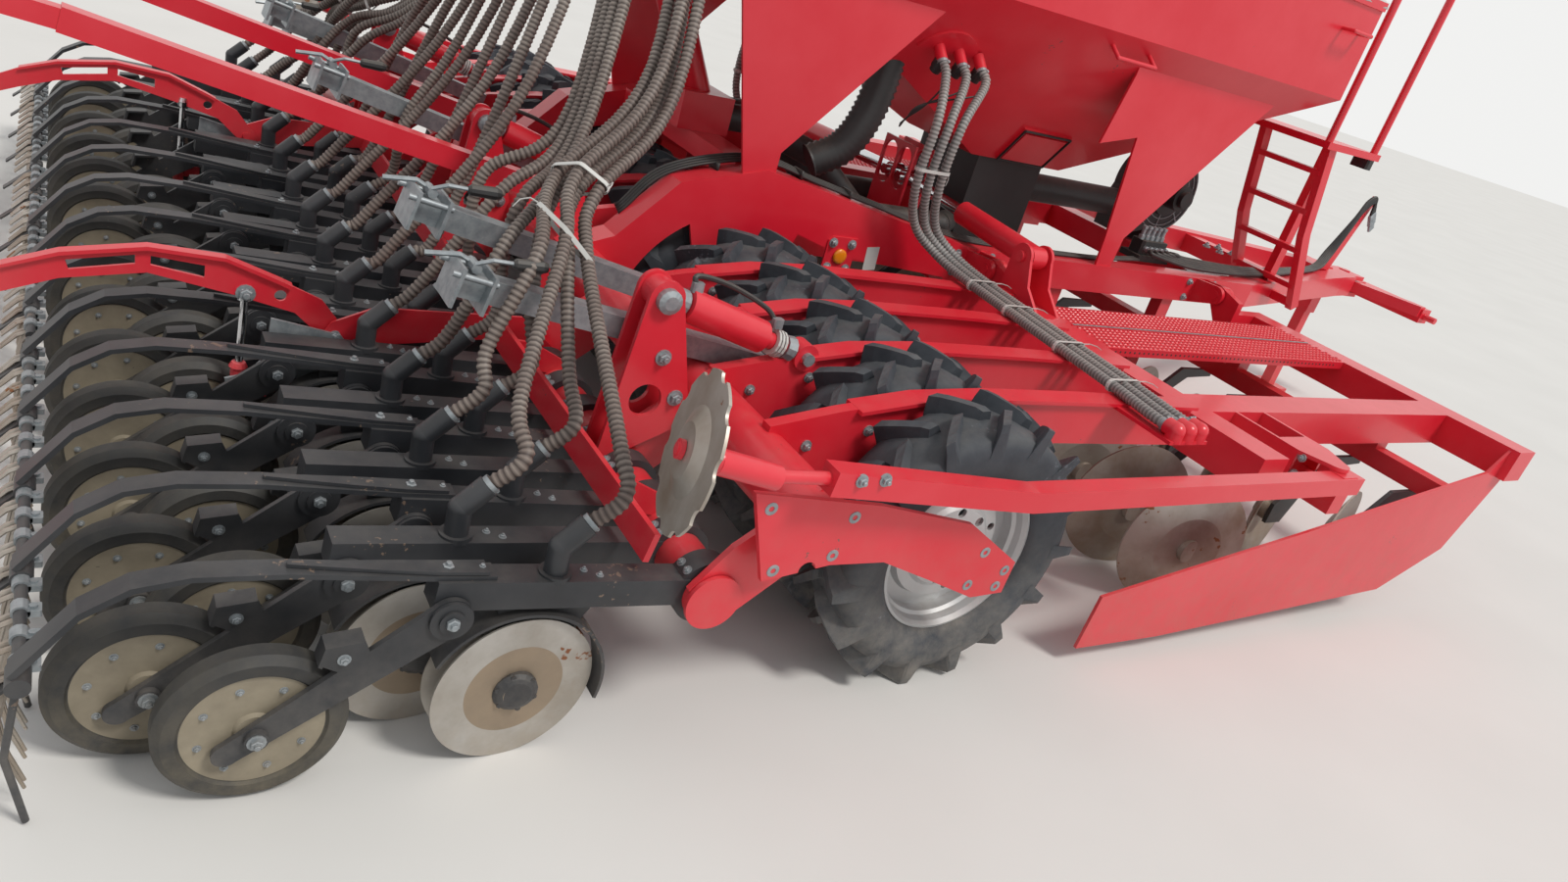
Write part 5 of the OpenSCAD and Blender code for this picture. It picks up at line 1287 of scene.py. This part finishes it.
fold = math.atan2(625 - 220, 1640 - 1060)


def on_panel(x, out, up):
    """A place on the funnel's right panel: along X, out from it and up its slope from the mouth."""
    return Vector((x, -220 + -out * math.cos(fold) - up * math.sin(fold),
                   1060 - out * math.sin(fold) + up * math.cos(fold)))


sensors, faces, frame_parts, leads = Gathered(), Gathered(), Gathered(), Gathered()
for k in range(3):
    x = 605 + 90 * k
    sensors.turned(on_panel(x, 58, 448), on_panel(x, 60, 430) - on_panel(x, 58, 448),
                   [(0, 24), (26, 24), (28, 20), (42, 20)], 12)
    faces.turned(on_panel(x + 22, 66, 440), (1, -0.3, 0), [(0, 9), (6, 9)], 6)
    leads.tube(smooth_route([on_panel(x + 24, 70, 436), (x - 20, -600, 1330), (560, -570 + 6 * k, 1250),
                             (540, -520, 1190), (560, -470, 1150 + 5 * k)]), 3.2, 6)
for a, b in (((1276, 12), (1534, 12)), ((1276, 12), (1276, 184)), ((1276, 184), (1534, 184)),
             ((1534, 12), (1534, 184))):
    frame_parts.tube([on_panel(a[0], 12, a[1]), on_panel(b[0], 12, b[1])], 5, 8)
piece_of("hose_sensors", sensors, "plastic")
piece_of("sensor_faces", faces, "white")
piece_of("door_seal", frame_parts, "plastic")
piece_of("sensor_leads", leads, "plastic", smooth=True)

# %% [markdown]
# ## The tarpaulin
# The hopper is closed by a coated cloth stretched over bows. A flat grid would look like sheet metal,
# so the cloth follows each bow, sinks a little between them, and hangs over the rim in a wavy hem.
# It is one continuous sheet, made by code because it hardly moves, and thickened to three millimetres.

# %% Stretched cloth over the bows
LENGTH_STEPS, WIDTH_STEPS = 120, 44
X0, X1, HALF = -222.0, 2697.0, 632.0
crown = [(0, 2136), (200, 2128), (380, 2115), (545, 2096), (600, 2080), (628, 2056)]


def crown_height(y):
    """Height of the tight cloth at a distance from the middle."""
    y = abs(y)
    for (y0, z0), (y1, z1) in zip(crown, crown[1:]):
        if y <= y1:
            return z0 + (z1 - z0) * (y - y0) / (y1 - y0)
    return crown[-1][1]


points, faces_of_cloth = [], []
for i in range(LENGTH_STEPS + 1):
    x = X0 + (X1 - X0) * i / LENGTH_STEPS
    between_bows = math.sin(math.pi * ((x - X0) / 584) % math.pi) ** 2
    near_end = min(1.0, min(x - X0, X1 - x) / 90)
    for j in range(-WIDTH_STEPS // 2 - 3, WIDTH_STEPS // 2 + 4):
        if abs(j) <= WIDTH_STEPS // 2:
            y = 2 * j / WIDTH_STEPS * 626
            z = crown_height(y)
            z -= 13 * between_bows * math.cos(y / 626 * math.pi / 2) ** 0.5 + 20 * (1 - near_end) ** 2
            z += 1.3 * math.sin(0.021 * x + 0.05 * y) * math.sin(0.043 * y)
        else:
            drop = abs(j) - WIDTH_STEPS // 2
            y = math.copysign(628 + 3 * drop ** 0.5 + 1.2 * math.sin(x * 0.045) * drop / 3, j)
            z = crown_height(626) - 4 - 11 * drop - 2.0 * math.sin(x * 0.031) * (drop == 3)
        points.append(place(x, y, z))
row_count = WIDTH_STEPS + 7
for i in range(LENGTH_STEPS):
    for j in range(row_count - 1):
        a = i * row_count + j
        faces_of_cloth.append((a, a + row_count, a + row_count + 1, a + 1))
cloth = bpy.data.meshes.new("tarpaulin")
cloth.from_pydata([tuple(p) for p in points], [], faces_of_cloth)
spread = sum(p.area for p in cloth.polygons)
tarpaulin = bpy.data.objects.new("tarpaulin", cloth)
bpy.context.scene.collection.objects.link(tarpaulin)
thick = tarpaulin.modifiers.new("thickness", "SOLIDIFY")
thick.thickness, thick.offset = 0.003, 0.0
solid = bpy.data.meshes.new_from_object(tarpaulin.evaluated_get(bpy.context.evaluated_depsgraph_get()))
bpy.data.objects.remove(tarpaulin)
tarpaulin = placed("tarpaulin", solid, "tarp", "frame", smooth=True)
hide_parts("hopper_cover")

# %% [markdown]
# Webbing straps cross the cloth over every second bow and run down to small buckles on the rim.

# %% Straps over the cloth
straps, buckles = Gathered(), Gathered()
for x in (70, 654, 1238, 1822, 2406):
    edge_line = [(y, crown_height(y) + 2.6) for y in range(-620, 621, 62)]
    edge_line = [(-633, 2046), (-630, 2066)] + edge_line + [(630, 2066), (633, 2046)]
    straps.rings([[(x - 18, y, z), (x + 18, y, z), (x + 18, y, z + 1.6), (x - 18, y, z + 1.6)]
                  for y, z in edge_line])
    for s in (-1, 1):
        buckles.box((x - 22, min(s * 625, s * 634.5), 2014), (x + 22, max(s * 625, s * 634.5), 2048))
straps_piece = piece_of("cover_straps", straps, "plastic")
piece_of("strap_buckles", buckles, "zinc")
